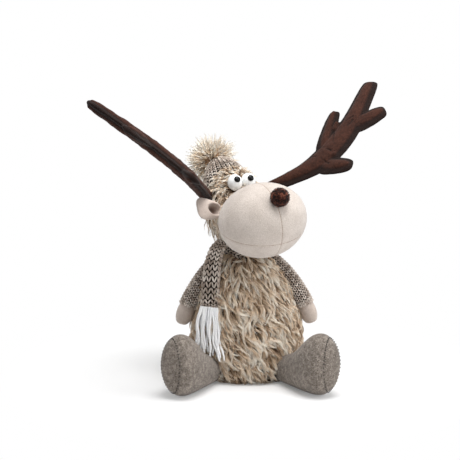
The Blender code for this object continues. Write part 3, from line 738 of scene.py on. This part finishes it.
for eachSide in (1, -1):
    makeEye(eachSide)
noseMade = Finish("redBrownFlock", 0.9, Sheen_Weight=0.08, Specular_IOR_Level=0.15)
noseSpots = noseMade.grain(0.0042, 3, 0.65)
noseFinish = noseMade.paint(noseMade.ramp(noseSpots, (0.38, tint(14, 5, 3)),
                                          (0.52, tint(52, 24, 16)), (0.66, tint(116, 68, 52))))
noseShape = ball((nose["radius"],) * 3, 64, 48)
for corner in noseShape.verts:
    corner.co *= 1 + noise.noise(corner.co / 0.0028) * nose["dents"] / nose["radius"]
bmesh.ops.translate(noseShape, vec=nose["middle"], verts=noseShape.verts)
bmesh.ops.transform(noseShape, matrix=headFrame, verts=noseShape.verts)
finished(place("noseBall", noseShape, noseFinish), "head", "red_brown_flock", "nose")
noseCentre = headFrame @ nose["middle"]
for fuzz in tuftsFrom("noseFuzz", noseCentre, nose["radius"] - 0.0002, noseFur, noseFinish, 5,
                      lambda way: True):
    finished(fuzz, "head", "red_brown_flock")
print("eyes and nose made")


# Ears: folded velour cups

ear = {"aside": 0.029, "forward": 0.0146, "drop": 0.0085, "length": 0.0340, "up": 0.0132,
       "thick": 0.0046, "swing": radians(13), "lifts": {1: radians(10), -1: radians(6)},
       "cup": (0.0125, 0.0, -0.0008), "cupWide": 0.0105, "cupHigh": 0.0068, "cupDeep": 0.0085}


def makeEar(side, finish):
    shape = ball((1, 1, 1), 72, 54, Matrix.Rotation(pi / 2, 4, 'X'))
    # the hollow mark is used by the finish to paint shade into the cup
    hollow = shape.verts.layers.float.new("hollow")
    for corner in shape.verts:
        across, deep, up = corner.co
        square = (abs(across) ** 3.2 + abs(up) ** 3.2) ** (1 / 3.2) / max(sqrt(across * across
                                                                       + up * up), 1e-6)
        across, up = across / square, up / square
        root = max(0, (1 - across) / 2)
        spot = Vector(((across + 1) / 2 * ear["length"], deep * ear["thick"],
                       up * ear["up"] * (1 - 0.42 * root ** 1.5)))
        off = Vector(((spot.x - ear["cup"][0]) / ear["cupWide"], 0,
                      (spot.z - ear["cup"][2]) / ear["cupHigh"]))
        dent = max(0, 1 - off.length_squared) ** 1.2
        if deep < 0:
            corner[hollow] = dent
            spot.y += dent * ear["cupDeep"]
            rim = max(0, 1 - abs(off.length - 1.15) / 0.5)
            spot.y -= rim * 0.0005
        else:
            spot.y += dent * 0.0022
        corner.co = spot
    sway = Matrix.Rotation(-ear["swing"], 4, 'Z') @ Matrix.Rotation(-ear["lifts"][side], 4, 'Y')
    root = headPlace.translation + Vector((ear["aside"] - 0.001, -ear["forward"], -ear["drop"] + 0.0022))
    flip = Matrix.Scale(side, 4, (1, 0, 0))
    bmesh.ops.transform(shape, matrix=headFrame @ flip @ Matrix.Translation(root) @ sway,
                        verts=shape.verts)
    bmesh.ops.recalc_face_normals(shape, faces=shape.faces)
    name = sideName(side)
    made = finished(place("earCup_" + name, shape, finish), "head", "beige_velour", "ear_" + name)


earMade, earColour = velourFinish("earVelour", (186, 170, 159), (210, 196, 187))
for eachSide in (1, -1):
    makeEar(eachSide, earMade.material)
# painted shade: the ear's hollow is darkened towards brown, where shade falls in the cup
earPaintedShade = earMade.between(earMade.value("hollow"), 0.1, 0.85) * 0.9
earMade.paint(earMade.mix(earPaintedShade, earColour, tint(88, 66, 56)))
print("ears made")


# Antlers: stuffed lobes inside a flat stitched welt

antler = {"aside": 0.029, "back": 0.002, "rise": 0.0135, "reach": 0.187, "depth": 0.0068, "cap": 0.5,
          "axes": (0.793, -0.362, 0.491), "normal": (0.605, 0.560, -0.566),
          "bows": {1: 0.0010, -1: 0.0055}, "welt": 0.0036, "weltOut": 0.0008, "weltDepth": 0.0031,
          "voxel": 0.0007, "creaseDepth": 0.0013, "creaseWidth": 0.0011}
beamShares = [(0, 0, 0.040), (0.055, 0.030, 0.042), (0.127, 0.075, 0.048), (0.245, 0.148, 0.064),
              (0.350, 0.192, 0.090), (0.500, 0.186, 0.096), (0.655, 0.148, 0.080),
              (0.775, 0.088, 0.064), (0.900, 0.024, 0.058), (0.965, -0.010, 0.050)]
beamDepths = [1, 1, 1, 1, 1.06, 1.06, 1, 0.95, 0.9, 0.8]
tineShares = [[(0.405, 0.172, 0.060), (0.540, 0.068, 0.053), (0.650, -0.010, 0.038),
               (0.690, -0.032, 0.030)],
              [(0.650, 0.150, 0.076), (0.735, 0.198, 0.070), (0.797, 0.222, 0.062),
               (0.832, 0.240, 0.050)],
              [(0.352, 0.205, 0.080), (0.388, 0.305, 0.060), (0.418, 0.356, 0.054),
               (0.432, 0.382, 0.040)],
              [(0.370, 0.190, 0.050), (0.425, 0.232, 0.046), (0.452, 0.246, 0.034)],
              [(0.570, 0.100, 0.050), (0.612, 0.072, 0.044), (0.632, 0.060, 0.032)]]
tineDepths = [0.45, 0.86, 0.84, 0.75]
creases = (((0.40, 0.090), (0.47, 0.150)), ((0.425, 0.085), (0.455, 0.190)),
           ((0.56, 0.118), (0.50, 0.185)), ((0.45, 0.215), (0.44, 0.170)),
           ((0.375, 0.275), (0.375, 0.205)), ((0.69, 0.150), (0.63, 0.165)),
           ((0.71, 0.130), (0.66, 0.125)), ((0.35, 0.120), (0.37, 0.175)))


def branch(shares, depths, inset, depth, bow):
    points = []
    for along, across, half in shares:
        arch = bow * sin(pi * along)
        points.append(Vector((along, across, -arch / antler["reach"])) * antler["reach"])
    made = []
    for number, point in enumerate(points):
        before = points[max(number - 1, 0)]
        after = points[min(number + 1, len(points) - 1)]
        turn = turned(after - before, Vector((0, 0, 1)))
        thick = depth * (depths[number] if inset > 0 else 1)
        width = max(shares[number][2] * antler["reach"] - inset, antler["weltDepth"])
        made.append(ring(point, turn, cageHalf(thick, 8), cageHalf(width, 8)))
    tip = points[-1] + (points[-1] - points[-2]).normalized() * width * antler["cap"]
    made.append(ring(tip, turn, thick * 0.8, width * 0.8))
    return loft(made, 8)


def creaseAt(spot):
    deepest = 0
    for start, end in creases:
        start = Vector(start) * antler["reach"]
        line = Vector(end) * antler["reach"] - start
        share = max(0, min(1, (spot - start).dot(line) / line.length_squared))
        off = (spot - start - line * share).length / antler["creaseWidth"]
        deepest = max(deepest, exp(-off * off) * (1 - share * 0.8))
    return deepest


def makeAntler(side, finish):
    bow = antler["bows"][side]
    shapes = []
    for shares, depths in zip([beamShares] + tineShares, [beamDepths] + [tineDepths] * 5):
        shapes.append(branch(shares, depths, antler["welt"], antler["depth"], bow))
        shapes.append(branch(shares, depths, -antler["weltOut"], antler["weltDepth"], bow))
    piece = soften(place("antler_" + sideName(side), joined(shapes), finish))
    skin = piece.modifiers.new("skin", 'REMESH')
    skin.mode = 'VOXEL'
    skin.voxel_size = antler["voxel"]
    skin.use_smooth_shade = True
    ease = piece.modifiers.new("ease", 'SMOOTH')
    ease.factor = 0.5
    ease.iterations = 4
    mesh = settle(piece).data
    # the welt and crease marks are used by the finish to paint shade
    marks = {"welt": np.zeros(len(mesh.vertices), np.float32),
             "crease": np.zeros(len(mesh.vertices), np.float32)}
    for corner in mesh.vertices:
        height = corner.co.z + bow * sin(pi * min(max(corner.co.x / antler["reach"], 0), 1))
        marks["welt"][corner.index] = max(0, 1 - abs(height) / 0.0050)
        marks["crease"][corner.index] = crease = creaseAt(corner.co.to_2d())
        ripple = noise.noise(corner.co / 0.0065) * 0.0007
        sunk = min(crease * antler["creaseDepth"] - ripple, abs(height) * 0.3)
        corner.co.z -= sunk * (1 if height > 0 else -1) * min(abs(height) / 0.002, 1)
    for mark, values in marks.items():
        mesh.attributes.new(mark, 'FLOAT', 'POINT').data.foreach_set("value", values)
    out = Vector(antler["axes"]).normalized()
    normal = Vector(antler["normal"])
    normal = (normal - normal.dot(out) * out).normalized()
    axes = Matrix((out, normal.cross(out), normal)).transposed().to_4x4()
    root = headPlace.translation + Vector((side * antler["aside"], antler["back"],
                                           antler["rise"]))
    flip = Matrix.Scale(side, 4, (1, 0, 0))
    mesh.transform(headFrame @ Matrix.Translation(root) @ flip @ axes)
    if side < 0:
        mesh.flip_normals()
    name = sideName(side)
    made = finished(piece, "antler_" + name, "brown_velour", "antler_skin_" + name)


antlerMade, antlerColour = velourFinish("brownVelour", (24, 11, 7), (73, 42, 31), 0.0022, 0.03)
# painted shade: darker along the welt, where shade lies in the grooves beside the seam
weltPaintedShade = antlerMade.between(antlerMade.value("welt"), 0.12, 0.5)
antlerWeltShaded = antlerMade.mix(weltPaintedShade * 0.85, antlerColour, tint(15, 8, 6))
# painted shade: darker still in the sunk creases, where shade falls
antlerMade.paint(antlerMade.mix(antlerMade.value("crease") * 0.8, antlerWeltShaded, tint(13, 7, 5)))
for eachSide in (1, -1):
    makeAntler(eachSide, antlerMade.material)
print("antlers made")


# Knitting: a near-black ground, painted shade that shows in the gaps between stitches, and on it the two legs
# of every stitch

# painted shade: the ground stands for the shade in the gaps between stitches
darkMade = Finish("knitShadeGround", 0.95, Specular_IOR_Level=0.1)
darkGrain = darkMade.grain(0.0012, 2)
knitShadeGround = darkMade.paint(darkMade.mix(darkGrain, tint(18, 13, 10), tint(40, 31, 25)))
marledYarn = yarnFinish("marledYarn", knitColours)


def knitOn(name, spot, columns, rows, look, seed):
    # spot(across, along) is a point of the cloth, both from 0 to 1
    dice = np.random.default_rng(seed)
    lines, tones = [], []
    shares = np.linspace(0, 1, 5)
    for row in range(rows):
        shade = dice.random()
        wide, tall = 1 / columns(row / rows), 1 / rows
        for column in range(columns(row / rows)):
            across = (column + 0.5) * wide
            low = spot(across, row * tall)
            side = spot(across + wide / 4, row * tall) - spot(across - wide / 4, row * tall)
            normal = (spot(across, (row + 1) * tall) - low).cross(side).normalized()
            tone = 0.25 + 0.2 * shade + 0.4 * dice.random()
            for lean in (-1, 1):
                start = spot(across + lean * wide * look["foot"], (row - 0.05) * tall)
                end = spot(across + lean * wide * look["splay"], (row + look["overlap"]) * tall)
                line = [start + (end - start) * share
                        + normal * look["lift"] * (0.3 + sin(pi * min(share * 1.15, 1)))
                        for share in shares]
                lines.append([tuple(point) for point in line])
                tones.append(tone)
    thick = look["thick"] / 2 * np.array((0.35, 0.92, 1.0, 0.88, 0.3))
    marks = {"tone": np.array(tones)[:, None], "along": shares[None, :]}
    print(name, "has", len(lines) // 2, "stitches")
    return tubes(name, np.array(lines), thick, 6, marledYarn, marks)


# Hat and pom-pom

hat = {"wall": 0.0018, "rows": 15, "columns": 27,
       "stitch": {"overlap": 1.0, "lift": 0.0006, "thick": 0.0015, "foot": 0.07, "splay": 0.42}}
pom = {"middle": Vector((0, 0.008, 0.066)), "core": 0.0145}
pomFur = {"locks": 800, "hairs": 9, "length": 0.0215, "spread": 0.0022, "gather": 0.93,
          "points": 5, "waves": 0.4, "wave": 0.0004, "thick": 0.00027, "pieces": 2, "curl": 0.13,
          "short": 0.6}


def hatSpot(across, along):
    # from the rim up to the crown
    angle = -2 * pi * across
    rim = np.arcsin(rimHeight(sin(angle) * head["radius"]) / head["top"])
    climb = rim + (pi / 2 - rim) * min(along, 0.985)
    radius = head["radius"] + hat["wall"]
    point = Vector((cos(angle) * cos(climb) * radius, sin(angle) * cos(climb) * radius,
                    sin(climb) * (head["top"] + hat["wall"])))
    return headFrame @ headPlace @ point


def hatColumns(along):
    return hat["columns"] if along < 0.62 else hat["columns"] * 2 // 3 if along < 0.84 else 10


hatShape = headShape(hat["wall"] - 0.0002, 64, 48)
hatParts = hatShape.verts[:] + hatShape.edges[:] + hatShape.faces[:]
rimPoint = headFrame @ headPlace @ Vector((0, 0, head["rim"]))
rimWay = (headFrame @ headPlace).to_3x3() @ Vector((0, head["rimTilt"] / head["radius"], 1))
bmesh.ops.bisect_plane(hatShape, geom=hatParts, plane_co=rimPoint, plane_no=rimWay,
                       clear_inner=True)
hatBase = place("hatGround", hatShape, knitShadeGround)
hatWall = hatBase.modifiers.new("wall", 'SOLIDIFY')
hatWall.thickness = 0.0016
finished(hatBase, "head", "marled_knit", "hat")
hatStitches = finished(knitOn("hatStitches", hatSpot, hatColumns, hat["rows"], hat["stitch"], 11),
                       "head", "marled_knit")
pomCentre = headFrame @ headPlace @ pom["middle"]
pomShape = ball((pom["core"],) * 3, 32, 24)
bmesh.ops.translate(pomShape, vec=pomCentre, verts=pomShape.verts)
pomFinish = furFinish("pomFur", {"root": (150, 118, 90), "low": (226, 200, 170),
                                 "mid": (251, 236, 215), "tip": (255, 251, 243), "sheen": 0.1}, 0.2)
# the pom's core takes the root colour: partly its own colour and partly painted shade deep in the strands
finished(place("pomCore", pomShape, pomFinish), "head", "shaggy_fur", "pom_pom")
for hair in tuftsFrom("pomStrands", pomCentre, pom["core"] * 0.62, pomFur, pomFinish, 9,
                      lambda way: way.dot(rimWay) > -0.75):
    finished(hair, "head", "shaggy_fur")
print("hat made")


# Arms: knitted sleeves and velour hands

def armTurn(side, share):
    direction = armLine(side, share + 0.05) - armLine(side, share)
    return turned(direction, Vector((0, 1, 0)))


def armLoft(side, alongs, radius, shares):
    return loft([ring(armLine(side, along), armTurn(side, along), cageHalf(radius * share, 10),
                      cageHalf(radius * share, 10)) for along, share in zip(alongs, shares)], 10)


def makeArm(side, handFinish):
    name = sideName(side)
    sleeve = soften(place("sleeveGround_" + name,
                          armLoft(side, arm["sleeveAlong"], arm["sleeve"], arm["sleeveWide"]),
                          knitShadeGround))
    finished(sleeve, "arm_" + name, "marled_knit", "sleeve_" + name)

    def sleeveSpot(across, along):
        share = 0.715 - along * 0.80
        radius = arm["sleeve"] * float(np.interp(share, arm["sleeveAlong"], arm["sleeveWide"]))
        angle = 2 * pi * across
        turn = armTurn(side, share)
        offset = Vector((cos(angle), sin(angle), 0)) * (radius + 0.0002)
        return armLine(side, share) + turn @ offset

    stitches = knitOn("sleeveStitches_" + name, sleeveSpot, lambda along: arm["columns"],
                      arm["rows"], arm["stitch"], 13)
    finished(stitches, "arm_" + name, "marled_knit")
    hand = soften(place("paw_" + name,
                        armLoft(side, arm["handAlong"], arm["hand"], arm["handWide"]),
                        handFinish), 3)
    finished(hand, "arm_" + name, "beige_velour", "hand_" + name)


handMade, handColour = velourFinish("pawVelour", (172, 156, 145), (206, 193, 183))
handMade.paint(handColour)
for eachSide in (1, -1):
    makeArm(eachSide, handMade.material)
print("arms made")


# Legs: felt, with a stitched seam round each sole

leg = {"hip": (0.030, 0.018), "spread": {1: radians(33), -1: radians(28)}, "length": 0.103,
       "halfWidth": 0.0205, "halfHeight": 0.0335, "press": 0.0005,
       "along": (-0.16, 0.10, 0.33, 0.53, 0.70, 0.85, 0.95),
       "width": (0.56, 0.62, 0.73, 0.88, 1, 0.95, 0.66),
       "height": (0.37, 0.40, 0.50, 0.73, 0.98, 0.96, 0.68),
       "middle": (0.37, 0.40, 0.50, 0.73, 0.98, 1.03, 1.03), "sides": 8,
       "sole": (0.0118, 0.0285), "soleRise": 0.034, "soleAside": 0.0040, "stitches": 46, "dash": 0.0008,
       "thread": 0.00042}


def legStations(side):
    hip = Vector((side * leg["hip"][0], -leg["hip"][1], 0))
    ahead = Vector((side * sin(leg["spread"][side]), -cos(leg["spread"][side]), 0))
    turn = turned(ahead, ahead.cross(Vector((0, 0, 1))))
    made = []
    for along, width, height, middle in zip(leg["along"], leg["width"], leg["height"],
                                            leg["middle"]):
        centre = hip + ahead * (along * leg["length"])
        centre.z = leg["halfHeight"] * middle - leg["press"]
        made.append(ring(centre, turn, cageHalf(leg["halfWidth"] * width, leg["sides"]),
                         cageHalf(leg["halfHeight"] * height, leg["sides"])))
    return made, hip, ahead


def makeLeg(side, finish, thread):
    name = sideName(side)
    stations, hip, ahead = legStations(side)
    skin = settle(soften(place("leg_" + name, loft(stations, leg["sides"]), finish), 4))
    for corner in skin.data.vertices:
        corner.co.z = max(corner.co.z, 0)
    surface = BVHTree.FromPolygons([v.co for v in skin.data.vertices],
                                   [p.vertices for p in skin.data.polygons])
    across = ahead.cross(Vector((0, 0, 1))).normalized()
    outward = 1 if across.x * side > 0 else -1
    sole = hip + ahead * leg["length"] + across * (leg["soleAside"] * outward)
    sole.z = leg["soleRise"]
    dashes = []
    for number in range(leg["stitches"]):
        angle = 2 * pi * number / leg["stitches"]
        way = across * cos(angle) * leg["sole"][0] + Vector((0, 0, sin(angle) * leg["sole"][1]))
        found, normal, *rest = surface.ray_cast(sole + way + ahead * leg["halfWidth"], -ahead)
        if found is None or found.z < 0.001:
            continue
        along = Vector((0, 0, cos(angle))) * leg["sole"][1] - across * sin(angle) * leg["sole"][0]
        along = along.normalized() * leg["dash"]
        dashes.append([tuple(found + along * share) for share in (-1, -0.4, 0.4, 1)])
    stitched = tubes("soleStitches_" + name, np.array(dashes),
                     np.array((0.3, 1, 1, 0.3)) * leg["thread"], 6, thread, {})
    finished(stitched, "leg_" + name, "black_plastic")
    for corner in skin.data.vertices:
        spot = corner.co - sole
        if spot.dot(ahead) > -leg["halfWidth"]:
            far = sqrt((spot.dot(across) / leg["sole"][0]) ** 2 + (spot.z / leg["sole"][1]) ** 2)
            off = (far - 1) * leg["halfWidth"] / 0.0014
            corner.co -= corner.normal * 0.0007 * exp(-off * off)
    finished(skin, "leg_" + name, "grey_felt", "leg_skin_" + name)


feltMade = Finish("greyFelt", 0.95, Sheen_Weight=0.15, Specular_IOR_Level=0.15)
feltFine = feltMade.grain(0.0009, 4, 0.7)
feltPatch = feltMade.grain(0.0045, 3)
feltMade.bump(feltFine, 0.0004)
feltMade.paint(feltMade.ramp(feltFine * 0.9 + feltPatch * 0.25, (0.40, tint(60, 53, 47)),
                             (0.56, tint(112, 103, 95)), (0.72, tint(172, 162, 152))))
threadMade = Finish("blackThread", 0.8)
blackThread = threadMade.paint(threadMade.mix(threadMade.grain(0.0004), tint(14, 13, 13),
                                              tint(44, 42, 41)))
for eachSide in (1, -1):
    makeLeg(eachSide, feltMade.material, blackThread)
print("legs made")


# Scarf: a wrap round the neck and two ends with a yarn fringe

scarf = {"wrapRadius": 0.0205, "halfThick": 0.0030, "halfHigh": 0.0085, "wrapDrop": 0.0100,
         "tip": (radians(8), radians(13)), "half": 0.0100, "tailThin": 0.0018,
         "widths": (0.66, 0.74, 0.84, 0.94, 1, 1),
         "stitch": {"overlap": 1.0, "lift": 0.0006, "thick": 0.0018, "foot": 0.06, "splay": 0.44}}
frontTail = {"across": (-2.45, -3.15, -3.60, -3.78, -3.85, -3.88),
             "ahead": (-1.10, -1.66, -2.22, -2.70, -3.12, -3.30),
             "high": (1.035, 0.985, 0.885, 0.745, 0.600, 0.545), "turn": radians(-24),
             "body": "scarf_tail", "name": "front", "lean": 0.30}
backTail = {"across": (-1.40, -2.00, -2.55, -2.78, -2.80, -2.75),
            "ahead": (1.80, 2.95, 4.30, 5.05, 5.30, 5.38),
            "high": (0.995, 0.925, 0.765, 0.620, 0.500, 0.440), "turn": radians(22),
            "body": "torso", "name": "back", "lean": 0.05}
fringe = {"length": 0.054, "slope": 0.012, "strands": 33, "radius": 0.00120, "points": 12,
          "fan": 0.0040}


def wrapPlace():
    tip = Euler((*[scarf["tip"][k] for k in (0, 1)], 0))
    return Matrix.LocRotScale(bodyMiddle(body["height"] - scarf["wrapDrop"]), tip, None)


def wrapSpot(across, along):
    angle = 2 * pi * along
    roll = 2 * pi * across
    out = scarf["wrapRadius"] + (scarf["halfThick"] + 0.0002) * cos(roll)
    point = Vector((cos(angle) * out, sin(angle) * out, (scarf["halfHigh"] + 0.0002) * sin(roll)))
    return wrapPlace() @ point


def makeWrap():
    shape = bmesh.new()
    bmesh.ops.create_circle(shape, segments=20, radius=1)
    section = ring(Vector((scarf["wrapRadius"], 0, 0)), Euler((pi / 2, 0, 0)),
                   scarf["halfThick"], scarf["halfHigh"])
    bmesh.ops.transform(shape, matrix=section, verts=shape.verts)
    bmesh.ops.spin(shape, geom=shape.verts[:] + shape.edges[:], cent=(0, 0, 0), axis=(0, 0, 1),
                   angle=2 * pi, steps=48, use_merge=True)
    bmesh.ops.recalc_face_normals(shape, faces=shape.faces)
    bmesh.ops.transform(shape, matrix=wrapPlace(), verts=shape.verts)
    return place("scarfWrap", shape, knitShadeGround)


def tailLine(tail, share):
    at = np.linspace(0, 1, len(tail["across"]))
    return Vector([float(np.interp(share, at, tail[key])) * size
                   for key, size in (("across", scarf["half"]), ("ahead", scarf["half"]),
                                     ("high", body["height"]))])


def tailTurn(tail, share):
    along = tailLine(tail, min(share + 0.08, 1)) - tailLine(tail, max(share - 0.08, 0))
    return turned(along, Vector((cos(tail["turn"]), sin(tail["turn"]), 0)))


def tailSpot(tail, grow):
    def spot(across, along):
        share = 1 - along
        at = np.linspace(0, 1, len(scarf["widths"]))
        wide = scarf["half"] * float(np.interp(share, at, scarf["widths"]))
        angle = 2 * pi * across
        offset = Vector((cos(angle) * wide, sin(angle) * (scarf["tailThin"] + grow), 0))
        return tailLine(tail, share) + tailTurn(tail, share) @ offset
    return spot


def makeFringe(tail, finish, seed):
    dice = np.random.default_rng(seed)
    top = tailLine(tail, 1)
    across = Vector((cos(tail["turn"]), sin(tail["turn"]), 0))
    away = Vector((across.y, -across.x, 0)) * (1 if tail["name"] == "front" else -1)
    paths = np.empty((fringe["strands"], fringe["points"], 3))
    for number in range(fringe["strands"]):
        side = (number % 11) / 10 * 2 - 1 + dice.uniform(-0.08, 0.08)
        layer = (number // 11 - 1) * 0.0018
        drop = fringe["length"] - fringe["slope"] * (1 - side) / 2 + dice.uniform(-0.006, 0.003)
        sway = dice.uniform(-0.0032, 0.0032)
        phase = dice.uniform(0, 2 * pi)
        for step in range(fringe["points"]):
            share = step / (fringe["points"] - 1)
            wide = side * (scarf["half"] - 0.0005) * (1 + 0.30 * sin(pi * min(share * 1.4, 1)))
            wide += side * share ** 2 * 0.0070 + sway * share + fringe["fan"] * share ** 1.5
            wide += sin(share * 9 + phase) * 0.0017 * share
            lean = tail["lean"] * drop * share * (1 - 0.35 * share)
            point = top + across * wide + away * (lean + layer * (1 + share))
            point += Vector((0, 0, 0.004 - drop * share))
            paths[number, step] = point
    shares = np.linspace(0, 1, fringe["points"])
    thick = fringe["radius"] * (1 - 0.25 * shares ** 6)
    marks = {"along": shares[None, :], "tone": dice.random((fringe["strands"], 1))}
    return tubes("fringe_" + tail["name"], paths, thick, 8, finish, marks)


def makeTail(tail, yarn, seed):
    spot = tailSpot(tail, 0)
    stations = []
    for share in np.linspace(0, 1, 14):
        at = np.linspace(0, 1, len(scarf["widths"]))
        wide = scarf["half"] * float(np.interp(share, at, scarf["widths"]))
        stations.append(ring(tailLine(tail, share), tailTurn(tail, share), wide,
                             scarf["tailThin"]))
    ground = place("scarfTail_" + tail["name"], loft(stations, 16), knitShadeGround)
    node = "scarf_%s_tail" % tail["name"]
    finished(ground, tail["body"], "marled_knit", node)
    stitches = knitOn("tailStitches_" + tail["name"], tailSpot(tail, 0.0002), lambda along: 9, 17,
                      scarf["stitch"], seed)
    finished(stitches, tail["body"], "marled_knit")
    strands = makeFringe(tail, yarn, seed)
    finished(strands, tail["body"], "white_yarn", "scarf_%s_fringe" % tail["name"])


wrap = finished(makeWrap(), "torso", "marled_knit", "scarf_wrap")
wrapStitches = finished(knitOn("wrapStitches", wrapSpot, lambda along: 9, 34, scarf["stitch"], 17),
                        "torso", "marled_knit")
yarnMade = Finish("whiteYarn", 0.85, Sheen_Weight=0.25, Specular_IOR_Level=0.2)
yarnFuzz = yarnMade.grain(0.0012, 3, 0.6)
yarnShade = yarnMade.value("tone") * 0.5 + yarnFuzz * 0.7
yarnMade.bump(yarnFuzz, 0.0005)
yarnMade.paint(yarnMade.ramp(yarnShade, (0.25, tint(232, 234, 238)), (0.7, tint(254, 254, 254))))
makeTail(frontTail, yarnMade.material, 19)
makeTail(backTail, yarnMade.material, 23)
print("scarf made")


# What is hidden inside keeps a plain finish of its own kind

def plainFinish(name, dark, light, size, roughness):
    made = Finish(name, roughness)
    return made.paint(made.mix(made.grain(size, 3), tint(*dark), tint(*light)))


insides = {"filling": plainFinish("fibreFilling", (222, 220, 214), (246, 245, 241), 0.003, 0.95),
           "pellet_bag": plainFinish("bagCotton", (205, 198, 184), (228, 222, 210), 0.001, 0.9),
           "washer": plainFinish("washerPlastic", (225, 226, 226), (240, 241, 241), 0.002, 0.4),
           "wire": plainFinish("softWire", (120, 120, 122), (165, 165, 168), 0.002, 0.35)}
for nodeName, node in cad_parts.items():
    for key, material in insides.items():
        if key in nodeName:
            node.data.materials.clear()
            node.data.materials.append(material)
print("insides finished")


# Floor, light and camera

studio = {"floor": 4.0, "fade": (0.09, 0.26), "world": 0.26, "top": 18.0, "right": 9.0,
          "left": 2.2, "glow": 0.16}


def makeFloor():
    shape = bmesh.new()
    bmesh.ops.create_grid(shape, x_segments=1, y_segments=1, size=studio["floor"])
    made = Finish("whiteFloor", 0.9, Specular_IOR_Level=0.1)
    made.shader.inputs["Base Color"].default_value = tint(244, 244, 244)
    seen = made.add("LightPath", take="Is Camera Ray")
    mirrored = made.add("LightPath", take="Is Glossy Ray")
    passed = made.add("LightPath", take="Is Transmission Ray")
    far = made.add("VectorMath", {"operation": 'LENGTH'}, {0: made.where}, take="Value")
    far = made.between(far, *studio["fade"])
    share = (seen + mirrored + passed).upTo(1) * (far * (1 - studio["glow"]) + studio["glow"])
    glow = made.add("Emission", None, {"Color": (1, 1, 1, 1), "Strength": 1.0})
    blend = made.tree.nodes.new("ShaderNodeMixShader")
    made.tree.links.new(share.socket, blend.inputs[0])
    made.tree.links.new(made.shader.outputs[0], blend.inputs[1])
    made.tree.links.new(glow.socket, blend.inputs[2])
    made.tree.links.new(blend.outputs[0], made.tree.nodes["Material Output"].inputs["Surface"])
    floor = place("floor", shape, made.material)
    floor.location.z = -0.0002


def makeWorld():
    world = bpy.data.worlds.new("studio")
    bpy.context.scene.world = world
    world.use_nodes = True
    tree = world.node_tree
    light = tree.nodes["Background"]
    light.inputs["Color"].default_value = (1, 1, 1, 1)
    path = tree.nodes.new("ShaderNodeLightPath")
    seen = Wire(tree, path.outputs["Is Camera Ray"])
    mirrored = Wire(tree, path.outputs["Is Glossy Ray"])
    passed = Wire(tree, path.outputs["Is Transmission Ray"])
    strength = (seen + mirrored + passed).upTo(1) * (1 - studio["world"]) + studio["world"]
    tree.links.new(strength.socket, light.inputs["Strength"])


def makeLamp(name, where, aim, size, power):
    light = bpy.data.lights.new(name, 'AREA')
    light.shape = 'DISK'
    light.size = size
    light.energy = power
    lamp = bpy.data.objects.new(name, light)
    bpy.context.scene.collection.objects.link(lamp)
    lamp.location = where
    lamp.rotation_euler = (Vector(where) - Vector(aim)).to_track_quat('Z', 'Y').to_euler()


makeFloor()
makeWorld()
makeLamp("topLight", (0.10, -0.20, 1.30), (0, 0, 0.12), 0.9, studio["top"])
makeLamp("rightLight", (1.15, -0.50, 0.80), (0, 0, 0.12), 1.1, studio["right"])
makeLamp("leftLight", (-1.15, 0.25, 0.75), (0, 0, 0.12), 0.7, studio["left"])
lens = bpy.data.cameras.new("camera")
lens.lens = 126.7
lens.sensor_width = 36
camera = bpy.data.objects.new("camera", lens)
camera.location = (-0.01785, -1.6688, 0.4795)
camera.rotation_euler = (radians(79), 0, 0)
bpy.context.scene.collection.objects.link(camera)
bpy.context.scene.camera = camera
bpy.context.scene.view_settings.view_transform = 'Standard'
